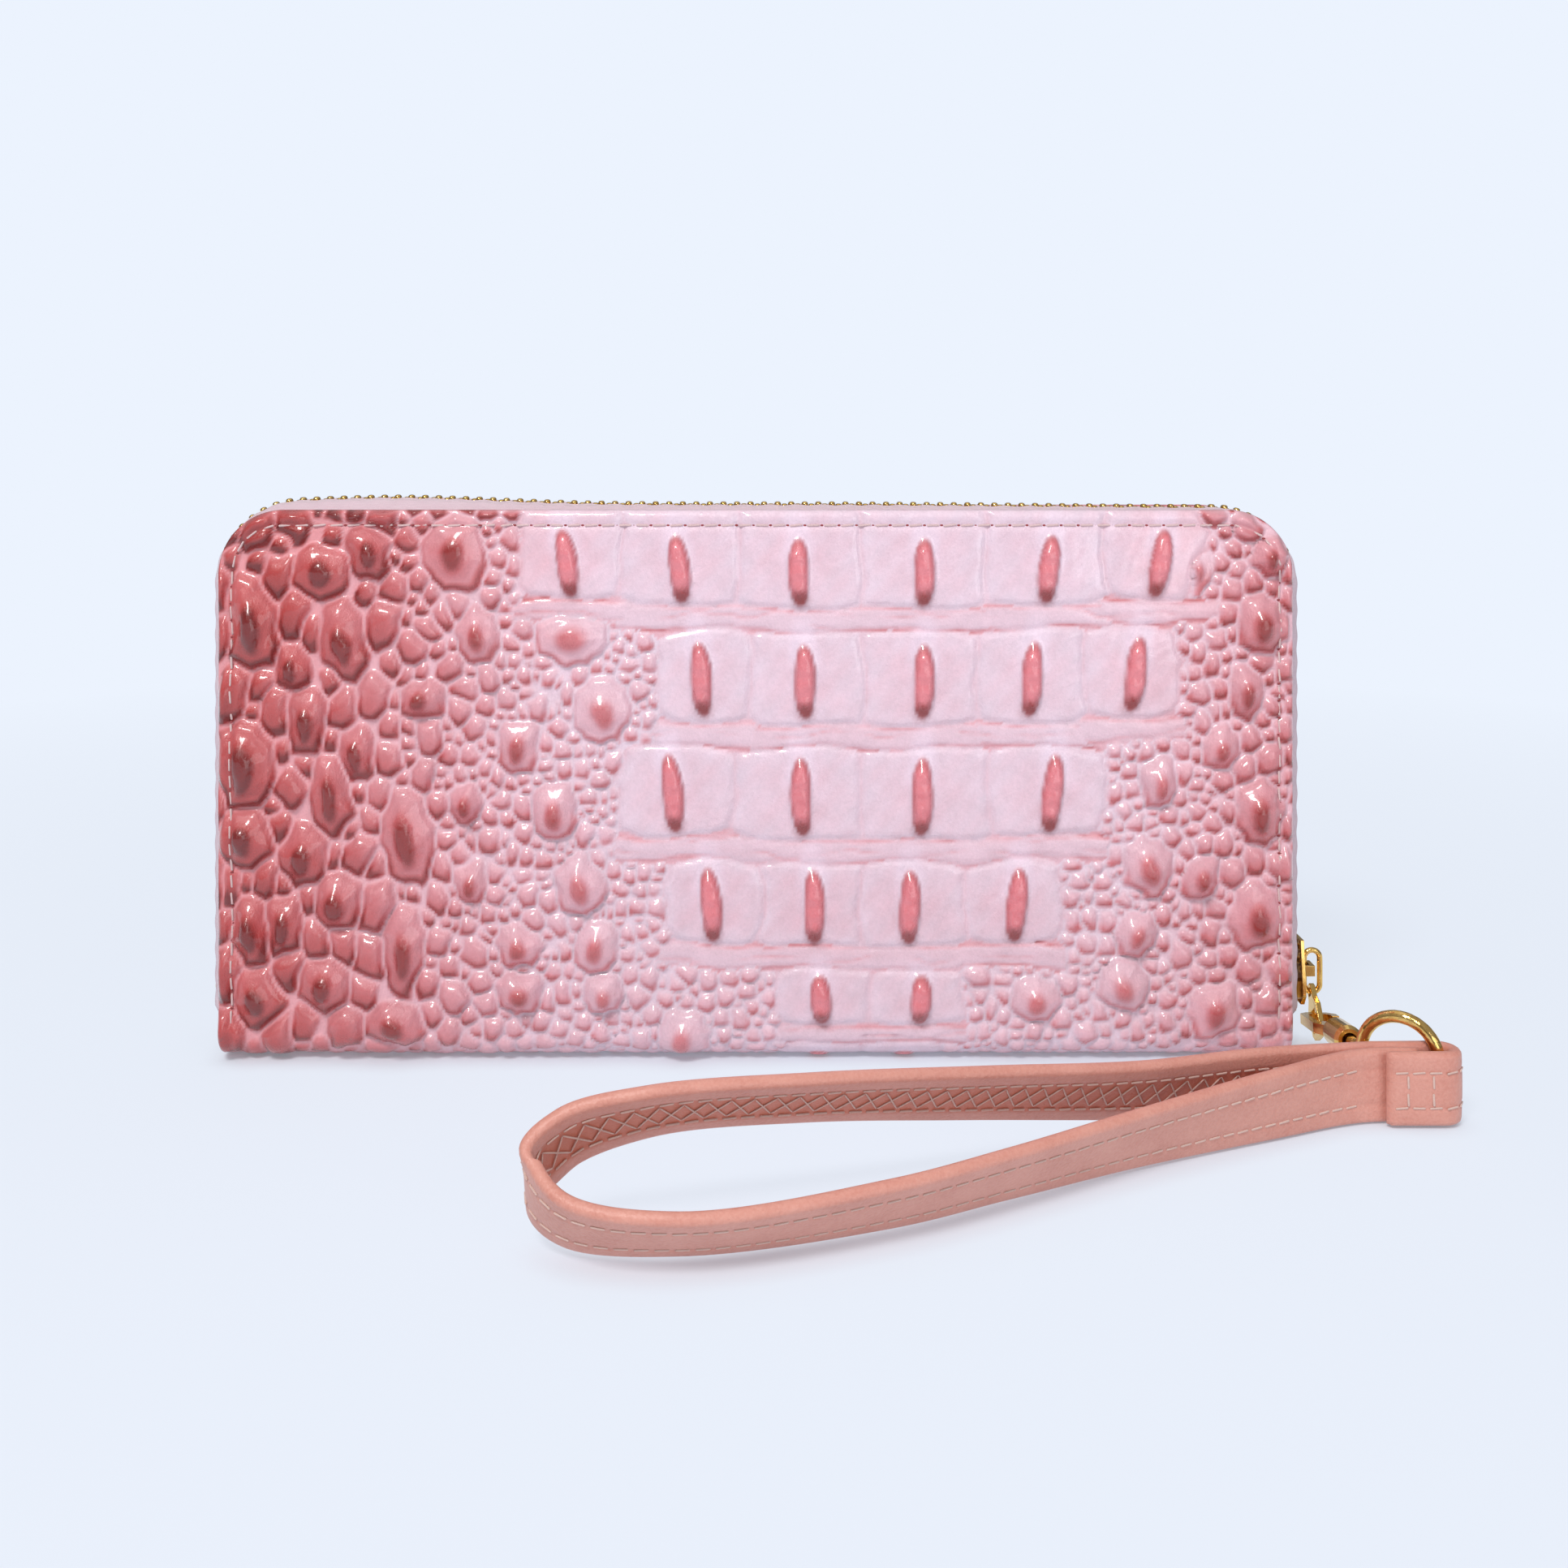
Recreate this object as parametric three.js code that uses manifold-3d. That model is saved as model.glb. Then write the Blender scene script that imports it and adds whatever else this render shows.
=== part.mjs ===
// A zip-around wristlet wallet, standing closed on its spine.
// Millimetres. Origin: centre of the spine's underside. +X right, -Y front, +Z up.
import * as THREE from 'three';
import { mergeVertices } from 'three/addons/utils/BufferGeometryUtils.js';
import Module from 'manifold-3d';

const wasm = await Module();
wasm.setup();

// Driving dimensions
const WIDTH = 197;
const HEIGHT = 101;
const DEPTH = 25;
const COVER_CORNER = 12;
const SPINE_RADIUS = 5;
const LEATHER = 1.4;
const GAP = 0.3;

// Stack of the inside, as distances from the middle plane to each layer's outer face
const HALF_WIDTH = WIDTH / 2;
const HALF_DEPTH = DEPTH / 2;
const BOARD = { outer: HALF_DEPTH - LEATHER - GAP, thick: 1.0, inset: 8.5 };
const LINING = { outer: BOARD.outer - BOARD.thick - GAP, thick: 0.6, inset: 3.8 };
const BILL_PANEL = { outer: 8.0, thick: 0.6, halfWidth: 87, top: 90 };
const CARD_SLOTS = { outer: 7.1, layer: 0.6, halfWidth: 86, top: 87, step: 9, count: 4 };
const COIN_POCKET = { outer: 2.2, thick: 0.6, halfWidth: 84, floor: 5, top: 72 };

// Outer zip, along a U that runs up the right side, over the top and down the left
const ZIP = {
  halfWidth: 101.5, top: 102, corner: 15, tapeStart: 6.5, chainStart: 12.2,
  chainHalf: 0.6, chainInner: 0.15, chainWide: 1.4, tapeThick: 0.5, tapeEdge: 1.85,
};
const SLIDER = { bottom: 7.5, top: 19.5, halfWidth: 4.4, plate: 0.7, channel: 0.95 };

// Pull hardware, from the slider to the strap
const LINK = { wire: 0.55, halfWidth: 1.5, bottom: 8.9, top: 16.9 };
const LEG_X = ZIP.halfWidth + SLIDER.channel + SLIDER.plate + LINK.wire + 0.25;
const TAB = { thick: 1.0, width: 5.6, length: 8.6, bar: 1.2, lean: 35 };
const HOOK = { halfWidth: 3.3, wall: 1.3, thick: 1.8, gateHinge: 7.6 };
const RING = { wire: 1.1, bottom: 1.3, top: 16.3 };
const RING_BAR = new THREE.Vector3(114.7, -38.8, 0);
const RING_LEG = new THREE.Vector3(104.2, -31.5, 9.5);

// Strap: one leather band, folded round the ring's bar
const STRAP = { width: 12.2, thick: 2.1, middle: 6.5, swing: 18 };

// How finely round things are divided
const WIRE_SIDES = 12;
const LOOP_STEPS = 12;
const LATHE_SIDES = 24;

const COLOURS = {
  croc: '#d98c93', lining: '#c98f92', board: '#b9a58c', tape: '#e3a9ad', gold: '#d9b36a',
  strap: '#d58f7e', card: '#cf9a9a',
};
const FINISH = {
  leather: { roughness: 0.35, metalness: 0 },
  cloth: { roughness: 0.85, metalness: 0 },
  metal: { roughness: 0.22, metalness: 1 },
};

// ---------------------------------------------------------------- geometry helpers

function positionOnly(geometry) {
  const plain = geometry.index ? geometry : geometry.clone();
  plain.deleteAttribute('normal');
  plain.deleteAttribute('uv');
  return mergeVertices(plain, 1e-4);
}

function toSolid(geometry) {
  const merged = positionOnly(geometry);
  return new wasm.Manifold(new wasm.Mesh({
    numProp: 3,
    vertProperties: Float32Array.from(merged.attributes.position.array),
    triVerts: Uint32Array.from(merged.index.array),
  }));
}

function fromSolid(solid) {
  const { vertProperties, triVerts } = solid.getMesh();
  const geometry = new THREE.BufferGeometry();
  geometry.setAttribute('position', new THREE.BufferAttribute(vertProperties, 3));
  geometry.setIndex(new THREE.BufferAttribute(triVerts, 1));
  return geometry;
}

function join(first, ...others) {
  return fromSolid(others.reduce((sum, other) => sum.add(toSolid(other)), toSolid(first)));
}

function cut(first, ...others) {
  return fromSolid(others.reduce((sum, other) => sum.subtract(toSolid(other)), toSolid(first)));
}

function signedVolume(position, index) {
  const [a, b, c] = [0, 1, 2].map(() => new THREE.Vector3());
  let volume = 0;
  for (let i = 0; i < index.length; i += 3) {
    a.fromArray(position, 3 * index[i]);
    b.fromArray(position, 3 * index[i + 1]);
    c.fromArray(position, 3 * index[i + 2]);
    volume += a.dot(b.cross(c));
  }
  return volume;
}

// Carries a flat section [[u, v], ...] through frames { at, u, v }, capped or closed on itself.
function sweep(section, frames, closed = false) {
  const corners = section.map(([a, b]) => new THREE.Vector2(a, b));
  if (THREE.ShapeUtils.isClockWise(corners)) corners.reverse();
  const count = corners.length;
  const position = frames.flatMap(({ at, u, v }) => corners.flatMap(({ x, y }) => (
    at.clone().addScaledVector(u, x).addScaledVector(v, y).toArray())));
  const index = [];
  const spans = closed ? frames.length : frames.length - 1;
  for (let i = 0; i < spans; i += 1) {
    const here = i * count;
    const next = ((i + 1) % frames.length) * count;
    for (let j = 0; j < count; j += 1) {
      const k = (j + 1) % count;
      index.push(here + j, here + k, next + k, here + j, next + k, next + j);
    }
  }
  if (!closed) {
    const last = (frames.length - 1) * count;
    for (const [i, m, n] of THREE.ShapeUtils.triangulateShape(corners, [])) {
      const forward = THREE.ShapeUtils.area([corners[i], corners[m], corners[n]]) > 0;
      const [j, k] = forward ? [m, n] : [n, m];
      index.push(i, k, j, last + i, last + j, last + k);
    }
  }
  if (signedVolume(position, index) < 0) index.reverse();
  const geometry = new THREE.BufferGeometry();
  geometry.setAttribute('position', new THREE.Float32BufferAttribute(position, 3));
  geometry.setIndex(index);
  return geometry;
}

// A polyline given a thickness, as a closed outline.
function ribbon(points, thick) {
  const line = points.map(([a, b]) => new THREE.Vector2(a, b));
  const side = (sign) => line.map((point, i) => {
    const before = line[Math.max(i - 1, 0)];
    const after = line[Math.min(i + 1, line.length - 1)];
    const along = after.clone().sub(before).normalize();
    return [point.x - sign * along.y * thick / 2, point.y + sign * along.x * thick / 2];
  });
  return [...side(1), ...side(-1).reverse()];
}

function circle(radius, sides = WIRE_SIDES) {
  return Array.from({ length: sides }, (_, i) => {
    const angle = 2 * Math.PI * (i + 0.5) / sides;
    return [radius * Math.cos(angle), radius * Math.sin(angle)];
  });
}

function box(x, y, z) {
  const geometry = new THREE.BoxGeometry(x[1] - x[0], y[1] - y[0], z[1] - z[0]);
  return geometry.translate((x[0] + x[1]) / 2, (y[0] + y[1]) / 2, (z[0] + z[1]) / 2);
}

// An outline of [y, z] points, carried along X between -half and +half.
function alongX(points, half) {
  const shape = new THREE.Shape(points.map(([y, z]) => new THREE.Vector2(y, z)));
  const geometry = new THREE.ExtrudeGeometry(shape, { depth: 2 * half, bevelEnabled: false });
  geometry.translate(0, 0, -half);
  const turn = new THREE.Matrix4().makeBasis(
    new THREE.Vector3(0, 1, 0), new THREE.Vector3(0, 0, 1), new THREE.Vector3(1, 0, 0));
  return geometry.applyMatrix4(turn);
}

// An upright sheet with rounded top corners, its outer face at side * outer.
function uprightSheet(side, outer, thick, halfWidth, bottom, top, corner) {
  const shape = new THREE.Shape();
  shape.moveTo(-halfWidth, bottom);
  shape.lineTo(halfWidth, bottom);
  shape.lineTo(halfWidth, top - corner);
  shape.absarc(halfWidth - corner, top - corner, corner, 0, Math.PI / 2);
  shape.absarc(-halfWidth + corner, top - corner, corner, Math.PI / 2, Math.PI);
  const settings = { depth: thick, bevelEnabled: false, curveSegments: 6 };
  const geometry = new THREE.ExtrudeGeometry(shape, settings).rotateX(Math.PI / 2);
  return geometry.translate(0, side > 0 ? outer : thick - outer, 0);
}

// Frames along the zip's U, a distance out from the chain's line; v runs along +Y.
function zipFrames(start) {
  const { halfWidth, top, corner } = ZIP;
  const frames = [];
  const add = (x, z, angle) => frames.push({
    at: new THREE.Vector3(x, 0, z),
    u: new THREE.Vector3(Math.cos(angle), 0, Math.sin(angle)),
    v: new THREE.Vector3(0, 1, 0),
  });
  const bend = (centreX, from) => {
    for (let i = 0; i <= 6; i += 1) {
      const angle = from + (Math.PI / 2) * (i / 6);
      add(centreX + corner * Math.cos(angle), top - corner + corner * Math.sin(angle), angle);
    }
  };
  add(halfWidth, start, 0);
  bend(halfWidth - corner, 0);
  bend(corner - halfWidth, Math.PI / 2);
  add(-halfWidth, start, Math.PI);
  return frames;
}

// ---------------------------------------------------------------- the folded case

function spineOutline() {
  const outline = [];
  const inner = SPINE_RADIUS - LEATHER;
  const centre = HALF_DEPTH - SPINE_RADIUS;
  const arc = (sign, radius, from, to) => {
    for (let i = 0; i <= 5; i += 1) {
      const angle = from + (to - from) * (i / 5);
      outline.push([sign * (centre + radius * Math.sin(angle)),
        SPINE_RADIUS - radius * Math.cos(angle)]);
    }
  };
  arc(-1, SPINE_RADIUS, Math.PI / 2, 0);
  arc(1, SPINE_RADIUS, 0, Math.PI / 2);
  arc(1, inner, Math.PI / 2, 0);
  arc(-1, inner, 0, Math.PI / 2);
  return outline;
}

const cover = (side) => uprightSheet(
  side, HALF_DEPTH, LEATHER, HALF_WIDTH, SPINE_RADIUS + GAP, HEIGHT, COVER_CORNER);

const board = (side) => uprightSheet(
  side, BOARD.outer, BOARD.thick, HALF_WIDTH - BOARD.inset, 6, HEIGHT - BOARD.inset - 1.5, 6);

const lining = (side) => uprightSheet(
  side, LINING.outer, LINING.thick, HALF_WIDTH - LINING.inset, 4.6, HEIGHT - LINING.inset - 2, 9);

const billPanel = (side) => uprightSheet(
  side, BILL_PANEL.outer, BILL_PANEL.thick, BILL_PANEL.halfWidth, 4.8, BILL_PANEL.top, 6);

// Overlapping card pockets: each layer nearer the middle is one step lower.
function cardSlots(side) {
  const { outer, layer, top, step, count } = CARD_SLOTS;
  const floor = 5;
  const outline = [[outer, floor], [outer, top]];
  for (let i = 0; i < count; i += 1) {
    const inner = outer - (i + 1) * layer;
    outline.push([inner, top - i * step]);
    outline.push([inner, i < count - 1 ? top - (i + 1) * step : floor]);
  }
  return alongX(outline.map(([y, z]) => [side * y, z]), CARD_SLOTS.halfWidth);
}

// Accordion gusset: a W-folded sheet between the two halves at one end.
function gusset(end) {
  const fold = [[94.6, -8.3], [89, -4.2], [94.6, 0], [89, 4.2], [94.6, 8.3]];
  const section = ribbon(fold.map(([x, y]) => [end * x, y]), 0.5);
  const frame = (z) => ({
    at: new THREE.Vector3(0, 0, z), u: new THREE.Vector3(1, 0, 0), v: new THREE.Vector3(0, 1, 0),
  });
  return sweep(section, [frame(8), frame(86)]);
}

// ---------------------------------------------------------------- outer zip

function zipTape(side) {
  const line = [[-10.2, -10.45], [-4.6, -10.45], [-3.0, -8.4], [-1.2, -5.9], [-0.5, -4.6],
    [-0.5, -ZIP.tapeEdge]];
  const section = ribbon(line.map(([out, y]) => [out, -side * y]), ZIP.tapeThick);
  return sweep(section, zipFrames(ZIP.tapeStart));
}

function zipChain(side) {
  const near = side * ZIP.chainInner;
  const far = side * (ZIP.chainInner + ZIP.chainWide);
  const { chainHalf } = ZIP;
  const section = [[-chainHalf, near], [chainHalf, near], [chainHalf, far], [-chainHalf, far]];
  return sweep(section, zipFrames(ZIP.chainStart));
}

const zipStop = (x, bottom) => box(
  [x - 0.8, x + 0.8], [-1.5, 1.5], [bottom, bottom + 1.4]);

const endTab = (end) => {
  const inner = end * (HALF_WIDTH - 2.8);
  const outer = end * (HALF_WIDTH - 0.4);
  return box([Math.min(inner, outer), Math.max(inner, outer)], [-8, 8], [2.6, 6]);
};

// Two plates joined by a post between the parting chains, and a bridge for the pull.
function sliderBody() {
  const { bottom, top, halfWidth, plate, channel } = SLIDER;
  const outline = new THREE.Shape();
  outline.moveTo(-halfWidth, bottom + 2);
  outline.lineTo(-halfWidth + 1.4, bottom);
  outline.lineTo(halfWidth - 1.4, bottom);
  outline.lineTo(halfWidth, bottom + 2);
  outline.lineTo(halfWidth - 1.6, top);
  outline.lineTo(-halfWidth + 1.6, top);
  const flat = (x) => {
    const sheet = new THREE.ExtrudeGeometry(outline, { depth: plate, bevelEnabled: false });
    sheet.applyMatrix4(new THREE.Matrix4().makeBasis(
      new THREE.Vector3(0, 1, 0), new THREE.Vector3(0, 0, 1), new THREE.Vector3(1, 0, 0)));
    return sheet.translate(x, 0, 0);
  };
  const outerFace = ZIP.halfWidth + channel;
  const innerFace = ZIP.halfWidth - channel;
  const post = box([innerFace - 0.2, outerFace + 0.2], [-1, 1], [bottom + 0.6, bottom + 3.8]);
  const bridgeTop = LEG_X + LINK.wire + 0.25;
  const leg = (y) => box([outerFace + 0.3, bridgeTop + 0.7], [y - 0.4, y + 0.4], [12.4, 14.4]);
  const roof = box([bridgeTop, bridgeTop + 0.8], [-1.8, 1.8], [12.4, 14.4]);
  return join(flat(innerFace - plate), post, flat(outerFace), leg(-1.4), leg(1.4), roof);
}

// ---------------------------------------------------------------- coin pocket

const coinPanel = (side) => uprightSheet(side, COIN_POCKET.outer, COIN_POCKET.thick,
  COIN_POCKET.halfWidth, COIN_POCKET.floor, COIN_POCKET.top, 2);

function coinTape(side) {
  const line = [[-1.9, 72.4], [-1.9, 75.2], [-1.3, 76.0]];
  const section = ribbon(line, 0.5).map(([y, z]) => [-side * y, z]);
  return alongX(section, COIN_POCKET.halfWidth - 2);
}

const coinChain = (side) => box([2 - COIN_POCKET.halfWidth + 2, COIN_POCKET.halfWidth - 4],
  side > 0 ? [0.15, 0.85] : [-0.85, -0.15], [75.2, 76.6]);

const COIN_SLIDER_X = COIN_POCKET.halfWidth - 9;

function coinSlider() {
  const body = box([COIN_SLIDER_X - 4.5, COIN_SLIDER_X + 4.5], [-3.2, 3.2], [74.4, 78.4]);
  const channel = box([COIN_SLIDER_X - 6, COIN_SLIDER_X + 6], [-2.5, 2.5], [73, 77.2]);
  const loop = box([COIN_SLIDER_X - 1.5, COIN_SLIDER_X + 1.5], [-0.9, 0.9], [78, 80.4]);
  const hole = box([COIN_SLIDER_X - 0.8, COIN_SLIDER_X + 0.8], [-2, 2], [78.6, 79.8]);
  return cut(join(body, loop), channel, hole);
}

function coinPull() {
  const axisZ = 79.2;
  const outer = box([COIN_SLIDER_X - 13, COIN_SLIDER_X + 0.4], [-2.1, 2.1], [axisZ - 0.4, axisZ + 0.4]);
  const opening = box([COIN_SLIDER_X - 3.6, COIN_SLIDER_X - 0.4], [-1.3, 1.3],
    [axisZ - 1, axisZ + 1]);
  return cut(outer, opening);
}

// ---------------------------------------------------------------- pull, hook and ring

// A stadium loop of wire in the plane of `across` and +Z.
function wireLoop(centre, across, halfWidth, halfHeight, radius) {
  const steps = LOOP_STEPS;
  const up = new THREE.Vector3(0, 0, 1);
  const side = across.clone().cross(up).normalize();
  const straight = halfHeight - halfWidth;
  const frames = [];
  for (let i = 0; i < 2 * (steps + 1); i += 1) {
    const upper = i <= steps;
    const angle = Math.PI * (upper ? i / steps : 1 + (i - steps - 1) / steps);
    const out = across.clone().multiplyScalar(Math.cos(angle)).addScaledVector(up, Math.sin(angle));
    const at = centre.clone().addScaledVector(up, upper ? straight : -straight);
    frames.push({ at: at.addScaledVector(out, halfWidth), u: out, v: side });
  }
  return sweep(circle(radius), frames, true);
}

function linkRing() {
  const middle = (LINK.bottom + LINK.top) / 2;
  const centre = new THREE.Vector3(LEG_X + LINK.halfWidth, 0, middle);
  return wireLoop(centre, new THREE.Vector3(1, 0, 0), LINK.halfWidth, middle - LINK.bottom,
    LINK.wire);
}

const TAB_EYE = new THREE.Vector3(LEG_X + LINK.halfWidth, 0, LINK.bottom);

// The pull tab in its own plane: hole at the origin, hanging along -Z, thickness along X.
function pullTab() {
  const { width, length, bar, thick } = TAB;
  const half = width / 2;
  const outline = new THREE.Shape();
  outline.moveTo(-1.3, 0.9);
  outline.lineTo(-1.5, -1.2);
  outline.lineTo(-half, -2.8);
  outline.lineTo(-half, -length + 1);
  outline.lineTo(-half + 1, -length);
  outline.lineTo(half - 1, -length);
  outline.lineTo(half, -length + 1);
  outline.lineTo(half, -2.8);
  outline.lineTo(1.5, -1.2);
  outline.lineTo(1.3, 0.9);
  outline.lineTo(0.7, 1.5);
  outline.lineTo(-0.7, 1.5);
  const eye = new THREE.Path().absarc(0, 0, LINK.wire + 0.3, 0, 2 * Math.PI);
  const slot = new THREE.Path();
  slot.moveTo(-half + bar, -length + bar);
  slot.lineTo(half - bar, -length + bar);
  slot.lineTo(half - bar, -3.4);
  slot.lineTo(-half + bar, -3.4);
  outline.holes.push(eye, slot);
  const sheet = new THREE.ExtrudeGeometry(
    outline, { depth: thick, bevelEnabled: false, curveSegments: 5 });
  sheet.translate(0, 0, -thick / 2);
  sheet.applyMatrix4(new THREE.Matrix4().makeBasis(
    new THREE.Vector3(0, 1, 0), new THREE.Vector3(0, 0, 1), new THREE.Vector3(1, 0, 0)));
  return sheet;
}

// Everything on the hook is drawn with +X from the held bar to the ring, +Y outward, +Z up.
const HOOK_AXIS = new THREE.Vector3();
const hookGroup = new THREE.Group();

function placeHook() {
  const lean = THREE.MathUtils.degToRad(TAB.lean);
  const down = 5.9;
  const front = (TAB.width - TAB.bar) / 2;
  const bar = TAB_EYE.clone().add(new THREE.Vector3(
    0, -down * Math.sin(lean) - front * Math.cos(lean),
    -down * Math.cos(lean) + front * Math.sin(lean)));
  HOOK_AXIS.copy(RING_LEG).sub(bar).normalize();
  const outward = new THREE.Vector3(0, 0, 1).cross(HOOK_AXIS).normalize();
  const up = HOOK_AXIS.clone().cross(outward);
  hookGroup.applyMatrix4(new THREE.Matrix4().makeBasis(HOOK_AXIS, outward, up).setPosition(bar));
  return bar.distanceTo(RING_LEG);
}

const HOOK_REACH = placeHook();

function flatPiece(points, thick, hole) {
  const shape = new THREE.Shape(points.map(([x, y]) => new THREE.Vector2(x, y)));
  if (hole) shape.holes.push(new THREE.Path(hole.map(([x, y]) => new THREE.Vector2(x, y))));
  const sheet = new THREE.ExtrudeGeometry(shape, { depth: thick, bevelEnabled: false });
  return sheet.translate(0, 0, -thick / 2);
}

function hookBody() {
  const { halfWidth, wall, thick, gateHinge } = HOOK;
  const inside = halfWidth - wall;
  const jaw = flatPiece([[0.8, halfWidth], [-1.6, halfWidth], [-3, halfWidth - 1.4],
    [-3, 1.4 - halfWidth], [-1.6, -halfWidth], [gateHinge, -halfWidth], [10.4, -1.8],
    [10.4, 1.8], [gateHinge + 1.2, 2.2], [gateHinge - 1.4, -inside + 1.2],
    [gateHinge - 2.4, -inside], [-0.6, -inside], [-1.4, -inside + 0.8],
    [-1.4, inside - 0.8], [-0.6, inside], [0.8, inside]], thick);
  const profile = [[0, 9.6], [2.0, 9.6], [2.5, 11.2], [2.5, 18.6], [2.0, 19.6], [1.35, 19.6],
    [1.35, 18.6], [1.9, 18.2], [1.9, 15.2], [0, 15.2]];
  const barrel = new THREE.LatheGeometry(
    profile.map(([radius, along]) => new THREE.Vector2(radius, along)), LATHE_SIDES);
  barrel.rotateZ(-Math.PI / 2);
  return join(jaw, barrel);
}

// The sprung bar that closes the jaw, in the hook's frame.
function hookGate() {
  const { halfWidth, wall, gateHinge } = HOOK;
  return flatPiece([[1.1, halfWidth], [1.1, halfWidth - wall], [gateHinge + 0.6, halfWidth - wall],
    [gateHinge + 1.3, halfWidth - wall + 0.5], [gateHinge + 1.3, halfWidth]], 1.4);
}

// Leaf spring between the jaw's root and the gate.
const gateSpring = () => flatPiece([[3.4, 1.45], [3.6, 1.65], [6.0, -0.4], [5.8, -0.6]], 0.9);

function swivelEye() {
  const reach = HOOK_REACH;
  const profile = [[0, 15.6], [1.6, 15.6], [1.6, 17.6], [1.0, 18.0], [1.0, reach - 1.9],
    [0, reach - 1.9]];
  const post = new THREE.LatheGeometry(
    profile.map(([radius, along]) => new THREE.Vector2(radius, along)), LATHE_SIDES);
  post.rotateZ(-Math.PI / 2);
  const eyeProfile = [[1.5, -0.7], [2.6, -0.7], [2.6, 0.7], [1.5, 0.7], [1.5, -0.7]];
  const eye = new THREE.LatheGeometry(
    eyeProfile.map(([radius, z]) => new THREE.Vector2(radius, z)), LATHE_SIDES);
  eye.rotateX(Math.PI / 2);
  eye.translate(reach, 0, 0);
  return join(post, eye);
}

function eyeRing(wire = RING.wire) {
  const across = RING_BAR.clone().sub(RING_LEG).setZ(0);
  const halfWidth = across.length() / 2;
  const middle = (RING.bottom + RING.top) / 2;
  const centre = RING_BAR.clone().add(RING_LEG).multiplyScalar(0.5).setZ(middle);
  return wireLoop(centre, across.normalize(), halfWidth, (RING.top - RING.bottom) / 2, wire);
}

// ---------------------------------------------------------------- strap

// The band's middle line: [x, y, z, lean of its top edge towards the front in degrees].
const STRAP_PATH = [
  [104, -36.35, 6.4, 0], [84, -41, 7.6, 14], [62, -50, 9.6, 29], [35, -61.5, 13.6, 37],
  [9, -72, 17, 42], [-14, -78.6, 17.6, 40], [-26, -80.2, 14.4, 30], [-30.2, -83.6, 10.4, 20],
  [-25.5, -88.6, 6.9, 35], [-9.5, -90.6, 5.6, 45], [20, -82, 5.8, 41], [38.5, -72.4, 6.0, 38],
  [60, -60, 6.1, 29], [84, -47.6, 6.3, 12], [101, -39.6, 6.3, 0], [111.6, -38.8, 6.3, 0],
];

function bandFrame(at, along, lean) {
  const width = new THREE.Vector3(0, -Math.sin(lean), Math.cos(lean));
  width.addScaledVector(along, -width.dot(along)).normalize();
  return { at, u: width, v: along.clone().cross(width) };
}

function strapFrames() {
  const { middle, thick } = STRAP;
  const wrap = RING.wire + 0.3 + thick / 2;
  const frames = [];
  for (const x of [104.6, 109.6]) {
    const at = new THREE.Vector3(x, RING_BAR.y - wrap, middle);
    frames.push(bandFrame(at, new THREE.Vector3(1, 0, 0), 0));
  }
  for (let i = 0; i <= LOOP_STEPS; i += 1) {
    const angle = -Math.PI / 2 + Math.PI * (i / LOOP_STEPS);
    const out = new THREE.Vector3(Math.cos(angle), Math.sin(angle), 0);
    const at = RING_BAR.clone().setZ(middle).addScaledVector(out, wrap);
    frames.push(bandFrame(at, new THREE.Vector3(-out.y, out.x, 0), 0));
  }
  const points = STRAP_PATH.map(([x, y, z]) => new THREE.Vector3(x, y, z));
  const curve = new THREE.CatmullRomCurve3(points, false, 'centripetal');
  const perSpan = 4;
  const spans = STRAP_PATH.length - 1;
  for (let i = 0; i <= spans * perSpan; i += 1) {
    const t = i / (spans * perSpan);
    const from = Math.min(Math.floor(i / perSpan), spans - 1);
    const share = i / perSpan - from;
    const degrees = THREE.MathUtils.lerp(STRAP_PATH[from][3], STRAP_PATH[from + 1][3], share);
    const lean = THREE.MathUtils.degToRad(degrees);
    frames.push(bandFrame(curve.getPoint(t), curve.getTangent(t), lean));
  }
  return frames;
}

// The ring's path as the strap sees it when it swings, which presses a hollow in the band.
function ringReliefs() {
  const steps = 3;
  return Array.from({ length: steps + 1 }, (_, i) => {
    const turn = -THREE.MathUtils.degToRad(STRAP.swing) * (i / steps);
    const relief = eyeRing(RING.wire + GAP + 0.05);
    relief.translate(-RING_BAR.x, -RING_BAR.y, 0).rotateZ(turn);
    return relief.translate(RING_BAR.x, RING_BAR.y, 0);
  });
}

function strapBand() {
  const w = STRAP.width / 2;
  const t = STRAP.thick / 2;
  const edge = 0.6;
  const band = sweep([[-w, edge - t], [edge - w, -t], [w - edge, -t], [w, edge - t],
    [w, t - edge], [w - edge, t], [edge - w, t], [-w, t - edge]], strapFrames());
  return cut(band, ...ringReliefs());
}

// ---------------------------------------------------------------- assembly

const wallet = new THREE.Group();

function add(name, geometry, colour, finish, parent = wallet) {
  const shown = geometry.index ? geometry : mergeVertices(positionOnly(geometry));
  shown.computeVertexNormals();
  const material = new THREE.MeshStandardMaterial({ color: COLOURS[colour], ...FINISH[finish] });
  const mesh = new THREE.Mesh(shown, material);
  mesh.name = name;
  parent.add(mesh);
  return mesh;
}

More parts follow.
